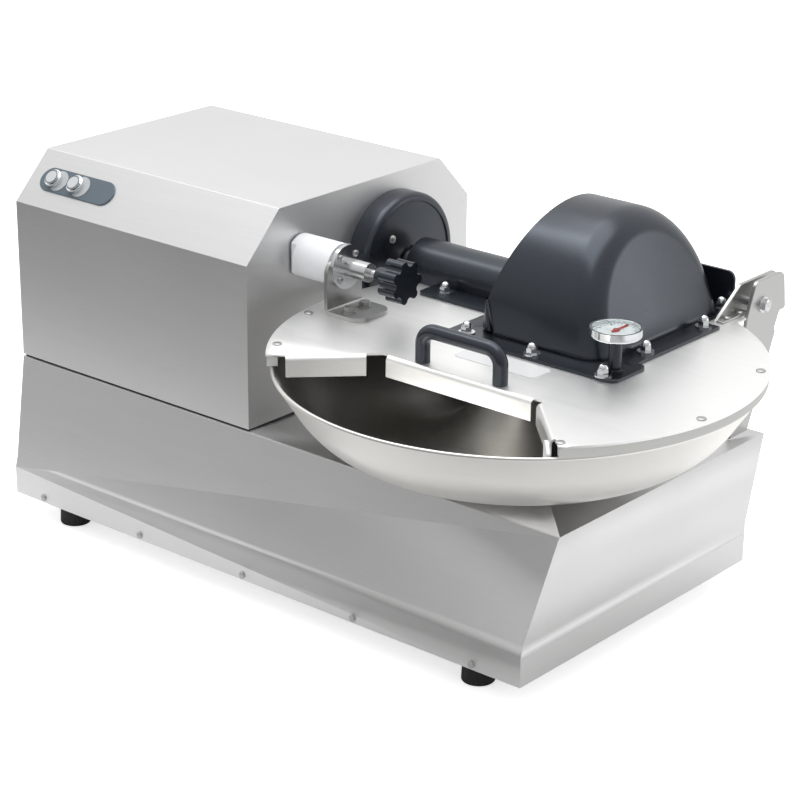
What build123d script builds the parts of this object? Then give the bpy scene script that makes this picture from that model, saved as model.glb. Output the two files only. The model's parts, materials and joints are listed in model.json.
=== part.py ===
from build123d import *
import math
import os

# Tabletop bowl cutter. Millimetres, +Z up, +X from the motor housing towards the bowl, +Y to the back.
# The origin is on the floor, at the middle of the machine's overall length and depth.

# ---- Driving dimensions ----
# Base cabinet (folded sheet on rubber feet)
base_past_bowl = 120.0
front_slope_height = 112.0
front_flare = 31.0
back_lean = 8.0
lip_height = 29.0
end_lean = 15.0
sheet = 2.0
foot_height = 22.0
foot_radius = 16.0
foot_from_end = 80.0
foot_behind_lip = 23.0
# Motor housing
housing_length = 325.0
housing_height = 212.6
housing_seam = 2.4
housing_chamfer_y = 46.0
housing_chamfer_z = 47.0
# Bowl and lid
lid_from_housing = 25.0
bowl_from_front = 90.0
bowl_rim_radius = 226.0
bowl_rim_height = 108.0
bowl_wall = 1.5
hub_height = 101.0
rim_bead = 1.8
hub_waist = 26.5
rim_flare = 10.5
lid_overhang = 4.0
lid_thickness = 2.0
rim_gap = 0.5
ring_height = 9.0
ring_width = 10.0
ear_gap = 4.0
ear_overhang = 6.0
chord_from_bowl = 88.0
lip_depth = 20.0
lip_bend = 5.0
lip_relief = 14.0
lip_end_gap = 14.0
# Spindle and knives
spindle_height = 129.5
spindle_radius = 12.0
knife_clearance = 3.0
knife_thickness = 5.0
knife_pitch = 15.0
knife_hub_radius = 22.0
knife_count = 3
nut_length = 14.0
# Hood over the knives
hood_wall = 3.0
hood_clearance = 8.0
hood_headroom = 10.0
hood_ahead_of_spindle = 4.0
hood_left = 47.0
hood_right = 70.0
hood_left_round = 20.0
hood_right_round = 26.0
hood_foot_round = 5.0
flange = 3.0
flange_left = 83.0
flange_right = 103.0
flange_ahead = 26.5
flange_behind = 14.0
flange_corner = 9.0
# Spindle cover, bearing guard, motor and drive
cover_radius = 25.0
cover_wall = 3.0
cover_left = 175.0
cover_flange = 54.5
guard_radius = 68.5
guard_depth = 24.5
guard_wall = 3.0
guard_round = 4.0
bearing_radius = 45.0
motor_radius = 72.0
motor_length = 190.0
motor_gap = 16.0
motor_foot = 36.0
bearing_back = 12.0
pulley_gap = 23.0
shaft_end = 16.0
pulley_width = 20.0
small_pulley = 32.0
large_pulley = 58.0
groove_depth = 8.0
belt_width = 12.0
belt_thickness = 7.0
worm_shaft_radius = 10.0
worm_offset = 50.0
worm_depth = 71.0
bowl_shaft_radius = 15.0
gearbox_half = 48.0
gearbox_wall = 42.0
gearbox_floor = 30.0
neck_wall = 13.0
neck_height = 14.0
boss_radius = 24.0
boss_height = 14.0
cap_radius = 16.0
# Hinge
hinge_behind_ear = 14.0
hinge_overhang = 8.0
hinge_height = 126.0
hinge_plate = 4.0
hinge_gap = 12.0
post_inset = 12.0
post_foot_front = 44.0
post_foot_back = 8.0
post_front = 25.0
post_crown = 24.0
post_crown_back = 18.0
post_nose = 39.0
post_nose_up = 12.0
post_hook_down = 14.0
post_hook_in = 32.0
post_neck = 23.0
post_neck_down = 30.0
post_waist = 21.0
post_waist_down = 47.0
post_flange = 18.0
hinge_pin_radius = 5.0
arm_round = 14.0
arm_foot = 38.0
post_back = 42.0
post_top = 29.0
# Handle, thermometer and lock
handle_centre = -5.0
handle_from_bowl = 76.0
handle_pitch = 89.0
handle_bar_radius = 6.25
handle_rise = 31.0
handle_foot_radius = 9.0
thermo_right = 100.0
thermo_front = 12.0
thermo_radius = 24.0
thermo_height = 45.0
lock_from_front = 75.5
lock_above_lid = 43.5
lock_radius = 21.0
lock_length = 51.0
lock_gap = 2.0
lock_rod_radius = 4.0
lock_travel = 10.0
bracket = 4.0
bracket_width = 50.0
bracket_foot = 44.0
bracket_bend = 7.0
knob_radius = 21.0
knob_lobes = 7
# Push buttons
button_first = 36.0
button_pitch = 32.0
button_spots = 3
button_radius = 8.0
button_travel = 3.0
bezel_radius = 10.0
plate_thickness = 1.5
plate_width = 27.0
plate_left = 16.0
plate_length = 104.5
# Fits
running = 0.05
clear = 0.3

# ---- Derived places ----
base_height = front_slope_height + lip_height
trough_radius = (bowl_rim_radius - rim_flare - hub_waist) / 2
spindle_behind_bowl = hub_waist + trough_radius
lid_radius = bowl_rim_radius + lid_overhang
bowl_from_left = housing_length + lid_from_housing + lid_radius
base_length = bowl_from_left + base_past_bowl
hinge_post_at = base_past_bowl - post_inset
hinge_arm_at = hinge_post_at - hinge_gap - hinge_plate
ear_half_width = hinge_post_at - ear_gap
lip_end_radius = bowl_rim_radius - lip_end_gap
ear_behind_bowl = lid_radius + ear_overhang
hinge_behind_bowl = ear_behind_bowl + hinge_behind_ear
base_depth = bowl_from_front + hinge_behind_bowl - hinge_overhang
top_z = foot_height + base_height
x0 = -(bowl_from_left + lid_radius) / 2
y0 = -(bowl_from_front - bowl_rim_radius + bowl_from_front + hinge_behind_bowl + post_back) / 2
bowl_x = x0 + bowl_from_left
bowl_y = y0 + bowl_from_front
spindle_y = bowl_y + spindle_behind_bowl
spindle_z = top_z + spindle_height
housing_right = x0 + housing_length
housing_bottom = top_z + housing_seam
housing_top = housing_bottom + housing_height
rim_z = top_z + bowl_rim_height
ring_bottom = rim_z + rim_gap
lid_bottom = ring_bottom + ring_height
lid_top = lid_bottom + lid_thickness
hinge_y = bowl_y + hinge_behind_bowl
hinge_z = top_z + hinge_height
knife_radius = trough_radius - bowl_wall - knife_clearance
hood_y = spindle_y - hood_ahead_of_spindle
hood_half_depth = knife_radius + hood_clearance + hood_wall
hood_height = spindle_z - lid_top + knife_radius + hood_headroom + hood_wall
flange_front = hood_half_depth + hood_ahead_of_spindle + flange_ahead
flange_back = hood_half_depth - hood_ahead_of_spindle + flange_behind
motor_start = housing_length - sheet - bearing_back - motor_gap - motor_length
drive_plane = motor_start - pulley_gap - pulley_width / 2
spindle_tail = drive_plane - pulley_width / 2 - shaft_end
wall_inner = housing_right - sheet
worm_y = bowl_y + worm_offset
worm_z = top_z - worm_depth
drive_x = x0 + drive_plane
lock_y = y0 + lock_from_front
lock_z = lid_top + lock_above_lid
spindle_bore = spindle_radius + running

# ---- Base cabinet ----
with BuildPart() as base_shell:
    with BuildSketch(Plane.YZ.offset(x0)):
        with BuildLine():
            Polyline(
                (y0, top_z),
                (y0 - front_flare, top_z - front_slope_height),
                (y0 - front_flare, foot_height),
                (y0 + base_depth - back_lean, foot_height),
                (y0 + base_depth - back_lean, top_z - front_slope_height),
                (y0 + base_depth, top_z),
                close=True,
            )
        make_face()
    extrude(amount=base_length)
    lean = math.atan2(end_lean, base_height)
    split(bisect_by=Plane((x0, 0, top_z), z_dir=(math.cos(lean), 0, math.sin(lean))), keep=Keep.TOP)
    right_end = (x0 + base_length, 0, top_z)
    split(bisect_by=Plane(right_end, z_dir=(-math.cos(lean), 0, math.sin(lean))), keep=Keep.TOP)
    offset(amount=-sheet, openings=base_shell.faces().sort_by(Axis.Z)[0])
    # Opening for the gearbox neck
    with BuildSketch(Plane.XY.offset(top_z)):
        with Locations((bowl_x, bowl_y)):
            Circle(bowl_shaft_radius + neck_wall + clear)
    extrude(amount=-sheet, mode=Mode.SUBTRACT)
    # Opening for the belt, under the housing
    with BuildSketch(Plane.XY.offset(top_z)):
        with Locations((drive_x, (spindle_y + worm_y) / 2)):
            Rectangle(pulley_width + 14, spindle_y - worm_y + 2 * large_pulley)
    extrude(amount=-sheet, mode=Mode.SUBTRACT)
    fillet(base_shell.edges().filter_by(Axis.X).group_by(Axis.Z)[-1], 1.5)
base_shell.part.label = "base_shell"

pan_rise = 1.0
with BuildPart() as bottom_plate:
    with BuildSketch(Plane.XY.offset(foot_height + pan_rise)):
        with Locations((x0 + base_length / 2, y0 + (base_depth - back_lean - front_flare) / 2)):
            RectangleRounded(
                base_length - 2 * (end_lean + sheet + clear),
                base_depth - back_lean + front_flare - 2 * (sheet + clear),
                3,
            )
    extrude(amount=sheet)
bottom_plate.part.label = "bottom_plate"

foot_names = ["foot_front_left", "foot_front_right", "foot_back_left", "foot_back_right"]
foot_front_y = y0 - front_flare + foot_behind_lip
foot_back_y = y0 + base_depth - back_lean - foot_behind_lip
foot_xs = (x0 + foot_from_end, x0 + base_length - foot_from_end)
foot_spots = [(x, y) for y in (foot_front_y, foot_back_y) for x in foot_xs]
feet = {}
for name, spot in zip(foot_names, foot_spots):
    with BuildPart() as foot:
        with BuildSketch(Plane.XY):
            with Locations(spot):
                Circle(foot_radius)
        extrude(amount=foot_height + pan_rise, taper=2)
        fillet(foot.edges().sort_by(Axis.Z)[0], 2)
    foot.part.label = name
    feet[name] = foot.part

# ---- Motor housing ----
lock_hole_radius = lock_rod_radius + 0.5
chamfer_angle = math.atan2(housing_chamfer_z, housing_chamfer_y)
chamfer_length = math.hypot(housing_chamfer_y, housing_chamfer_z)
# Plane on the front chamfer: x along the housing, y up the slope, z outwards
button_face = Plane(
    origin=(x0, y0, housing_top - housing_chamfer_z),
    x_dir=(1, 0, 0),
    z_dir=(0, -math.sin(chamfer_angle), math.cos(chamfer_angle)),
)
button_row = chamfer_length / 2
button_xs = [button_first + i * button_pitch for i in range(2)]
with BuildPart() as housing_shell:
    with BuildSketch(Plane.YZ.offset(x0)):
        with BuildLine():
            Polyline(
                (y0, housing_bottom),
                (y0, housing_top - housing_chamfer_z),
                (y0 + housing_chamfer_y, housing_top),
                (y0 + base_depth - housing_chamfer_y, housing_top),
                (y0 + base_depth, housing_top - housing_chamfer_z),
                (y0 + base_depth, housing_bottom),
                close=True,
            )
        make_face()
    extrude(amount=housing_length)
    offset(amount=-sheet, openings=housing_shell.faces().sort_by(Axis.Z)[0])
    with BuildSketch(Plane.YZ.offset(housing_right)):
        with Locations((spindle_y, spindle_z)):
            Circle(bearing_radius + clear)
        with Locations((lock_y, lock_z)):
            Circle(lock_hole_radius)
    extrude(amount=-sheet, mode=Mode.SUBTRACT)
    with BuildSketch(button_face):
        with Locations([(x, button_row) for x in button_xs]):
            Circle(bezel_radius - 2 + clear)
    extrude(amount=-sheet, mode=Mode.SUBTRACT)
    fillet(housing_shell.edges().filter_by(Axis.X).group_by(Axis.Z)[-1], 1.5)
housing_shell.part.label = "housing_shell"

# Folded rail that carries the housing on the base and shows as the dark seam
with BuildPart() as housing_rail:
    with BuildSketch(Plane.XY.offset(top_z)):
        with Locations((x0 + housing_length / 2, y0 + base_depth / 2)):
            Rectangle(housing_length - 4, base_depth - 4)
            Rectangle(housing_length - 40, base_depth - 40, mode=Mode.SUBTRACT)
    extrude(amount=housing_seam)
housing_rail.part.label = "housing_rail"

with BuildPart() as button_plate:
    with BuildSketch(button_face):
        with Locations((plate_left + plate_length / 2, button_row)):
            SlotOverall(plate_length, plate_width)
        with Locations([(x, button_row) for x in button_xs]):
            Circle(bezel_radius - 2 + clear, mode=Mode.SUBTRACT)
    extrude(amount=plate_thickness)
    fillet(button_plate.faces().sort_by(Axis((0, 0, 0), button_face.z_dir))[-1].outer_wire().edges(), 0.5)
button_plate.part.label = "button_plate"

# Chrome bezel: collar on the plate, barrel through the wall, nut behind; bore for the button
button_bore = button_radius - 1.5 + running
bezels = {}
for name, x in zip(["start_bezel", "stop_bezel"], button_xs):
    with BuildPart() as bezel:
        with BuildSketch(button_face.offset(plate_thickness)):
            with Locations((x, button_row)):
                Circle(bezel_radius)
                Circle(button_radius + clear, mode=Mode.SUBTRACT)
        extrude(amount=5)
        with BuildSketch(button_face.offset(plate_thickness)):
            with Locations((x, button_row)):
                Circle(bezel_radius - 2)
                Circle(button_bore, mode=Mode.SUBTRACT)
        extrude(amount=-(plate_thickness + sheet + 14))
        with BuildSketch(button_face.offset(plate_thickness + 1)):
            with Locations((x, button_row)):
                Circle(button_radius + 1)
                Circle(button_bore, mode=Mode.SUBTRACT)
        extrude(amount=-1)
        rim = bezel.faces().sort_by(Axis((0, 0, 0), button_face.z_dir))[-1]
        fillet(rim.outer_wire().edges(), 1)
    bezel.part.label = name
    bezels[name] = bezel.part

buttons = {}
for name, x in zip(["start_button", "stop_button"], button_xs):
    with BuildPart() as button:
        with BuildSketch(button_face.offset(plate_thickness + 1 + button_travel + 0.5)):
            with Locations((x, button_row)):
                Circle(button_radius)
        extrude(amount=2.5)
        with BuildSketch(button_face.offset(plate_thickness + 1 + button_travel + 0.5)):
            with Locations((x, button_row)):
                Circle(button_radius - 1.5)
        extrude(amount=-16)
        head = button.faces().sort_by(Axis((0, 0, 0), button_face.z_dir))[-1]
        fillet(head.edges(), 0.8)
    button.part.label = name
    buttons[name] = button.part

# ---- Motor, bearing and guard on the spindle line ----
with BuildPart() as motor:
    with BuildSketch(Plane.YZ.offset(x0 + motor_start)):
        with Locations((spindle_y, spindle_z)):
            Circle(motor_radius)
    extrude(amount=motor_length)
    fillet(motor.edges().filter_by(GeomType.CIRCLE), 8)
    # Feet cast on the barrel, down to the base
    foot_width = 2 * motor_radius - 14
    with BuildSketch(Plane.XY.offset(top_z)):
        with Locations((x0 + motor_start + motor_length / 2, spindle_y)):
            with GridLocations(motor_length - motor_foot - 24, 0, 2, 1):
                Rectangle(motor_foot, foot_width)
    extrude(amount=spindle_height - 10)
    with BuildSketch(Plane.YZ.offset(x0 + motor_start - 1)):
        with Locations((spindle_y, spindle_z)):
            Circle(spindle_bore)
    extrude(amount=motor_length + 2, mode=Mode.SUBTRACT)
motor.part.label = "motor"

with BuildPart() as spindle_bearing:
    with BuildSketch(Plane.YZ.offset(wall_inner - bearing_back)):
        with Locations((spindle_y, spindle_z)):
            Circle(bearing_radius)
            Circle(spindle_bore, mode=Mode.SUBTRACT)
    extrude(amount=bearing_back + sheet + guard_depth - guard_wall - 2)
    with BuildSketch(Plane.YZ.offset(wall_inner - bearing_back)):
        with Locations((spindle_y, spindle_z)):
            Circle(bearing_radius + 10)
            Circle(bearing_radius, mode=Mode.SUBTRACT)
    extrude(amount=bearing_back)
spindle_bearing.part.label = "spindle_bearing"

with BuildPart() as bearing_guard:
    with BuildSketch(Plane.YZ.offset(housing_right)):
        with Locations((spindle_y, spindle_z)):
            Circle(guard_radius)
    extrude(amount=guard_depth)
    fillet(bearing_guard.edges().filter_by(GeomType.CIRCLE).sort_by(Axis.X)[-1], guard_round)
    with BuildSketch(Plane.YZ.offset(housing_right)):
        with Locations((spindle_y, spindle_z)):
            Circle(guard_radius - guard_wall)
    extrude(amount=guard_depth - guard_wall, mode=Mode.SUBTRACT)
    with BuildSketch(Plane.YZ.offset(housing_right)):
        with Locations((spindle_y, spindle_z)):
            Circle(spindle_radius + 3)
    extrude(amount=guard_depth + 1, mode=Mode.SUBTRACT)
bearing_guard.part.label = "bearing_guard"

# ---- Drive to the bowl: pulleys, belt, cross shaft and gearbox ----
def pulley_profile(radius, bore):
    """Half section of a V-pulley, distance from the axis along x and width along y."""
    half = pulley_width / 2
    with BuildSketch(mode=Mode.PRIVATE) as section:
        with BuildLine():
            Polyline(
                (bore, -half),
                (radius, -half),
                (radius, -belt_width / 2),
                (radius - groove_depth, -belt_width / 2 + 2),
                (radius - groove_depth, belt_width / 2 - 2),
                (radius, belt_width / 2),
                (radius, half),
                (bore, half),
                close=True,
            )
        make_face()
    return section.sketch


# Plane that holds the half sections: its x runs up from the shaft, its y along the shaft
spindle_section = Plane(origin=(drive_x, spindle_y, spindle_z), x_dir=(0, 0, 1), z_dir=(0, -1, 0))
worm_section = Plane(origin=(drive_x, worm_y, worm_z), x_dir=(0, 0, 1), z_dir=(0, -1, 0))
with BuildPart() as motor_pulley:
    with BuildSketch(spindle_section):
        add(pulley_profile(small_pulley, spindle_radius))
    revolve(axis=Axis((drive_x, spindle_y, spindle_z), (1, 0, 0)))
motor_pulley.part.label = "motor_pulley"

with BuildPart() as worm_pulley:
    with BuildSketch(worm_section):
        add(pulley_profile(large_pulley, worm_shaft_radius))
    revolve(axis=Axis((drive_x, worm_y, worm_z), (1, 0, 0)))
worm_pulley.part.label = "worm_pulley"

belt_inset = groove_depth - clear
with BuildPart() as drive_belt:
    with BuildSketch(Plane.YZ.offset(drive_x - (belt_width - 5) / 2)):
        with Locations((spindle_y, spindle_z)):
            Circle(small_pulley - belt_inset + belt_thickness)
        with Locations((worm_y, worm_z)):
            Circle(large_pulley - belt_inset + belt_thickness)
        make_hull()
        with BuildSketch(mode=Mode.PRIVATE) as inside:
            with Locations((spindle_y, spindle_z)):
                Circle(small_pulley - belt_inset)
            with Locations((worm_y, worm_z)):
                Circle(large_pulley - belt_inset)
            make_hull()
        add(inside.sketch, mode=Mode.SUBTRACT)
    extrude(amount=belt_width - 5)
drive_belt.part.label = "drive_belt"

gearbox_drop = worm_depth + gearbox_floor
neck_radius = bowl_shaft_radius + neck_wall
with BuildPart() as gearbox:
    with BuildSketch(Plane.XY.offset(top_z - sheet)):
        with Locations((bowl_x, (bowl_y + worm_y) / 2)):
            RectangleRounded(2 * gearbox_half, worm_offset + 2 * gearbox_wall, 10)
    extrude(amount=-gearbox_drop)
    with BuildSketch(Plane.XY.offset(top_z - sheet)):
        with Locations((bowl_x, bowl_y)):
            Circle(neck_radius)
    extrude(amount=sheet + neck_height)
    with BuildSketch(Plane.XY.offset(top_z + neck_height)):
        with Locations((bowl_x, bowl_y)):
            Circle(bowl_shaft_radius + running)
    extrude(amount=-(neck_height + gearbox_drop - 10), mode=Mode.SUBTRACT)
    with BuildSketch(Plane.YZ.offset(bowl_x - gearbox_half)):
        with Locations((worm_y, worm_z)):
            Circle(worm_shaft_radius + running)
    extrude(amount=2 * gearbox_half - 12, mode=Mode.SUBTRACT)
gearbox.part.label = "gearbox"

with BuildPart() as worm_shaft:
    with BuildSketch(Plane.YZ.offset(drive_x - pulley_width / 2 - 8)):
        with Locations((worm_y, worm_z)):
            Circle(worm_shaft_radius)
    extrude(amount=bowl_x + gearbox_half - 16 - (drive_x - pulley_width / 2 - 8))
    chamfer(worm_shaft.edges().filter_by(GeomType.CIRCLE), 1)
worm_shaft.part.label = "worm_shaft"

# ---- Spindle with its knife head ----
knife_x = [bowl_x + (i - (knife_count - 1) / 2) * knife_pitch for i in range(knife_count)]
spacer_length = knife_pitch - knife_thickness
stack_start = knife_x[0] - knife_thickness / 2
stack_end = knife_x[-1] + knife_thickness / 2
shoulder_length = 12.0
arbor_radius = spindle_radius - 2
with BuildPart() as spindle:
    with BuildSketch(Plane.YZ.offset(x0 + spindle_tail)):
        with Locations((spindle_y, spindle_z)):
            Circle(spindle_radius)
    extrude(amount=stack_start - (x0 + spindle_tail))
    with BuildSketch(Plane.YZ.offset(stack_start - shoulder_length)):
        with Locations((spindle_y, spindle_z)):
            Circle(knife_hub_radius - 4)
    extrude(amount=shoulder_length)
    with BuildSketch(Plane.YZ.offset(stack_start)):
        with Locations((spindle_y, spindle_z)):
            Circle(arbor_radius)
    extrude(amount=stack_end + nut_length + 3 - stack_start)
    chamfer(spindle.edges().filter_by(GeomType.CIRCLE).sort_by(Axis.X)[-1], 1)
spindle.part.label = "spindle"

# A sickle blade: the cutting edge swings out from the hub to the tip, the back is hollow
knife_tip = (knife_radius * math.cos(math.radians(54)), knife_radius * math.sin(math.radians(54)))
knife_names = ["knife_front", "knife_middle", "knife_end"]
knives = {}
for i, name in enumerate(knife_names):
    turn = math.radians(25 + i * 360 / knife_count)
    knife_plane = Plane(
        origin=(knife_x[i] - knife_thickness / 2, spindle_y, spindle_z),
        x_dir=(0, math.cos(turn), math.sin(turn)),
        z_dir=(1, 0, 0),
    )
    with BuildPart() as knife:
        with BuildSketch(knife_plane):
            with BuildLine():
                ThreePointArc(
                    (knife_hub_radius * 0.94, -knife_hub_radius * 0.34),
                    (knife_radius * 0.74, knife_radius * 0.26),
                    knife_tip,
                )
                Line(knife_tip, (knife_tip[0] - 9, knife_tip[1] - 3))
                ThreePointArc(
                    (knife_tip[0] - 9, knife_tip[1] - 3),
                    (knife_radius * 0.33, knife_radius * 0.38),
                    (-knife_hub_radius * 0.5, knife_hub_radius * 0.86),
                )
                Line(
                    (-knife_hub_radius * 0.5, knife_hub_radius * 0.86),
                    (knife_hub_radius * 0.94, -knife_hub_radius * 0.34),
                )
            make_face()
            Circle(knife_hub_radius)
            Circle(arbor_radius, mode=Mode.SUBTRACT)
            Circle(knife_radius, mode=Mode.INTERSECT)
        extrude(amount=knife_thickness)
    knife.part.label = name
    knives[name] = knife.part

spacers = {}
for i in range(knife_count - 1):
    with BuildPart() as spacer:
        with BuildSketch(Plane.YZ.offset(knife_x[i] + knife_thickness / 2)):
            with Locations((spindle_y, spindle_z)):
                Circle(knife_hub_radius - 2)
                Circle(arbor_radius, mode=Mode.SUBTRACT)
        extrude(amount=spacer_length)
    spacer.part.label = "knife_spacer_" + str(i + 1)
    spacers[spacer.part.label] = spacer.part

with BuildPart() as knife_nut:
    with BuildSketch(Plane.YZ.offset(stack_end)):
        with Locations((spindle_y, spindle_z)):
            RegularPolygon(knife_hub_radius - 2, 6)
            Circle(arbor_radius, mode=Mode.SUBTRACT)
    extrude(amount=nut_length)
    chamfer(knife_nut.faces().sort_by(Axis.X)[-1].outer_wire().edges(), 1)
knife_nut.part.label = "knife_nut"

# ---- Bowl ----
trough_z = top_z + spindle_height
reach = math.hypot(bowl_rim_radius - spindle_behind_bowl, trough_z - rim_z)
dip = math.atan2(trough_z - rim_z, bowl_rim_radius - spindle_behind_bowl) + math.acos(trough_radius / reach)
rise = math.asin((trough_z - top_z - hub_height) / trough_radius)
bowl_section = Plane(origin=(bowl_x, bowl_y, 0), x_dir=(1, 0, 0), z_dir=(0, -1, 0))
with BuildPart() as bowl:
    with BuildSketch(bowl_section):
        with BuildLine() as bowl_line:
            hub_edge = (
                spindle_behind_bowl - trough_radius * math.cos(rise),
                trough_z - trough_radius * math.sin(rise),
            )
            wall_start = (
                spindle_behind_bowl + trough_radius * math.cos(dip),
                trough_z - trough_radius * math.sin(dip),
            )
            ThreePointArc(
                hub_edge,
                (spindle_behind_bowl, trough_z - trough_radius),
                wall_start,
            )
            Line(wall_start, (bowl_rim_radius, rim_z))
            Line((bowl_rim_radius, rim_z), (bowl_rim_radius - 2 * bowl_wall, rim_z))
            inner_start = (
                spindle_behind_bowl + (trough_radius - bowl_wall) * math.cos(dip),
                trough_z - (trough_radius - bowl_wall) * math.sin(dip),
            )
            Line((bowl_rim_radius - 2 * bowl_wall, rim_z), inner_start)
            inner_rise = math.asin((trough_z - top_z - hub_height - bowl_wall) / (trough_radius - bowl_wall))
            inner_edge = (
                spindle_behind_bowl - (trough_radius - bowl_wall) * math.cos(inner_rise),
                trough_z - (trough_radius - bowl_wall) * math.sin(inner_rise),
            )
            ThreePointArc(
                inner_start,
                (spindle_behind_bowl, trough_z - trough_radius + bowl_wall),
                inner_edge,
            )
            Polyline(inner_edge, (0, inner_edge[1]), (0, hub_edge[1]), hub_edge)
        make_face()
        with Locations((bowl_rim_radius - rim_bead, rim_z - rim_bead)):
            Circle(rim_bead)
    revolve(axis=Axis((bowl_x, bowl_y, 0), (0, 0, 1)))
bowl.part.label = "bowl"

hub_under = top_z + hub_height
with BuildPart() as bowl_shaft:
    with BuildSketch(Plane.XY.offset(top_z - gearbox_drop + 15)):
        with Locations((bowl_x, bowl_y)):
            Circle(bowl_shaft_radius)
    extrude(amount=hub_under - (top_z - gearbox_drop + 15))
    with BuildSketch(Plane.XY.offset(hub_under)):
        with Locations((bowl_x, bowl_y)):
            Circle(boss_radius)
    extrude(amount=-boss_height)
bowl_shaft.part.label = "bowl_shaft"

with BuildPart() as bowl_cap:
    with BuildSketch(Plane.XY.offset(hub_under + bowl_wall)):
        with Locations((bowl_x, bowl_y)):
            Circle(cap_radius)
    extrude(amount=8)
    fillet(bowl_cap.edges().sort_by(Axis.Z)[-1], 4)
bowl_cap.part.label = "bowl_cap"

# ---- Lid ----
root2 = math.sqrt(2)
opening_far = lid_radius * 1.2
opening_half = chord_from_bowl + lip_bend * (root2 - 1)
slot_front = spindle_radius + 3
slot_back = spindle_radius + 6
hood_inner_left = bowl_x - hood_left + hood_wall
hood_inner_right = bowl_x + hood_right - hood_wall
hood_inner_front = hood_y - hood_half_depth + hood_wall
hood_inner_back = hood_y + hood_half_depth - hood_wall


def feed_sector(grow):
    """Outline of the feed opening around the bowl axis, grown outwards by grow."""
    side = chord_from_bowl - grow + grow * root2
    with BuildSketch(mode=Mode.PRIVATE) as sector:
        with BuildLine():
            Polyline(
                (-side, -chord_from_bowl + grow),
                (side, -chord_from_bowl + grow),
                (side + opening_far, -chord_from_bowl + grow - opening_far),
                (-side - opening_far, -chord_from_bowl + grow - opening_far),
                close=True,
            )
        make_face()
    return sector.sketch


def lip_section():
    """Section of a bent-down edge: x into the opening, y up, from the end of the flat sheet."""
    with BuildSketch(mode=Mode.PRIVATE) as section:
        with BuildLine():
            CenterArc((0, -lip_bend), lip_bend, 0, 90)
            Line((0, 0), (0, -lid_thickness))
            CenterArc((0, -lip_bend), lip_bend - lid_thickness, 0, 90)
            Polyline(
                (lip_bend - lid_thickness, -lip_bend),
                (lip_bend - lid_thickness, -lip_depth),
                (lip_bend, -lip_depth),
                (lip_bend, -lip_bend),
            )
        make_face()
    return section.sketch


corner_radius = chord_from_bowl * root2
lid_plane = Plane.XY.offset(lid_bottom)
with BuildPart() as lid_plate:
    with BuildSketch(Plane((bowl_x, bowl_y, lid_bottom))):
        Circle(lid_radius)
        with Locations((0, ear_behind_bowl / 2)):
            RectangleRounded(2 * ear_half_width, ear_behind_bowl, 8)
        add(feed_sector(lip_bend), mode=Mode.SUBTRACT)
        # Way for the spindle, open at the left edge
        with Locations((-lid_radius / 2, spindle_behind_bowl + (slot_back - slot_front) / 2)):
            Rectangle(lid_radius, slot_front + slot_back, mode=Mode.SUBTRACT)
        # Way for the knives, under the hood
        with Locations(
            (
                (hood_inner_left + hood_inner_right) / 2 - bowl_x,
                (hood_inner_front + hood_inner_back) / 2 - bowl_y,
            )
        ):
            RectangleRounded(
                hood_inner_right - hood_inner_left - 4,
                hood_inner_back - hood_inner_front - 1,
                6,
                mode=Mode.SUBTRACT,
            )
    extrude(amount=lid_thickness)
    # Bent-down lips round the feed opening: left, chord, right
    left_edge = (
        bowl_x - (corner_radius + lip_relief) / root2 - lip_bend / root2,
        bowl_y - (corner_radius + lip_relief) / root2 + lip_bend / root2,
        lid_top,
    )
    with BuildSketch(Plane(left_edge, x_dir=(1, -1, 0), z_dir=(-1, -1, 0))):
        add(lip_section())
    extrude(amount=lip_end_radius - corner_radius - lip_relief)
    chord_edge = (bowl_x - chord_from_bowl + lip_bend, bowl_y - chord_from_bowl + lip_bend, lid_top)
    with BuildSketch(Plane(chord_edge, x_dir=(0, -1, 0), z_dir=(-1, 0, 0))):
        add(lip_section())
    extrude(amount=-2 * (chord_from_bowl - lip_bend))
    right_edge = (
        bowl_x + (corner_radius + lip_bend) / root2 + lip_bend / root2,
        bowl_y - (corner_radius + lip_bend) / root2 + lip_bend / root2,
        lid_top,
    )
    with BuildSketch(Plane(right_edge, x_dir=(-1, -1, 0), z_dir=(-1, 1, 0))):
        add(lip_section())
    extrude(amount=-(lip_end_radius - corner_radius - lip_bend))
lid_plate.part.label = "lid_plate"

with BuildPart() as lid_ring:
    with BuildSketch(Plane((bowl_x, bowl_y, ring_bottom))):
        Circle(lid_radius - 1)
        Circle(lid_radius - 1 - ring_width, mode=Mode.SUBTRACT)
        add(feed_sector(lip_bend + 1), mode=Mode.SUBTRACT)
        with Locations((-lid_radius / 2, spindle_behind_bowl + (slot_back - slot_front) / 2)):
            Rectangle(lid_radius, slot_front + slot_back, mode=Mode.SUBTRACT)
    extrude(amount=ring_height)
lid_ring.part.label = "lid_ring"

# ---- Hood over the knives ----
flange_top = lid_top + flange


def arch(half_depth, height):
    """Half ellipse standing on the lid, y along x and height along y."""
    with BuildSketch(mode=Mode.PRIVATE) as outline:
        with Locations((hood_y, lid_top)):
            Ellipse(half_depth, height)
        with Locations((hood_y, lid_top - height)):
            Rectangle(4 * half_depth, 2 * height, mode=Mode.SUBTRACT)
    return outline.sketch


with BuildPart() as hood_core:
    with BuildSketch(Plane.YZ.offset(hood_inner_left)):
        add(arch(hood_half_depth - hood_wall, hood_height - hood_wall))
    extrude(amount=hood_inner_right - hood_inner_left)
    ends = hood_core.edges().filter_by(lambda e: e.geom_type == GeomType.ELLIPSE).sort_by(Axis.X)
    fillet(ends[-1], hood_right_round - hood_wall)
    fillet(hood_core.edges().filter_by(lambda e: e.geom_type == GeomType.ELLIPSE).sort_by(Axis.X)[0],
           hood_left_round - hood_wall)

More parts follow.
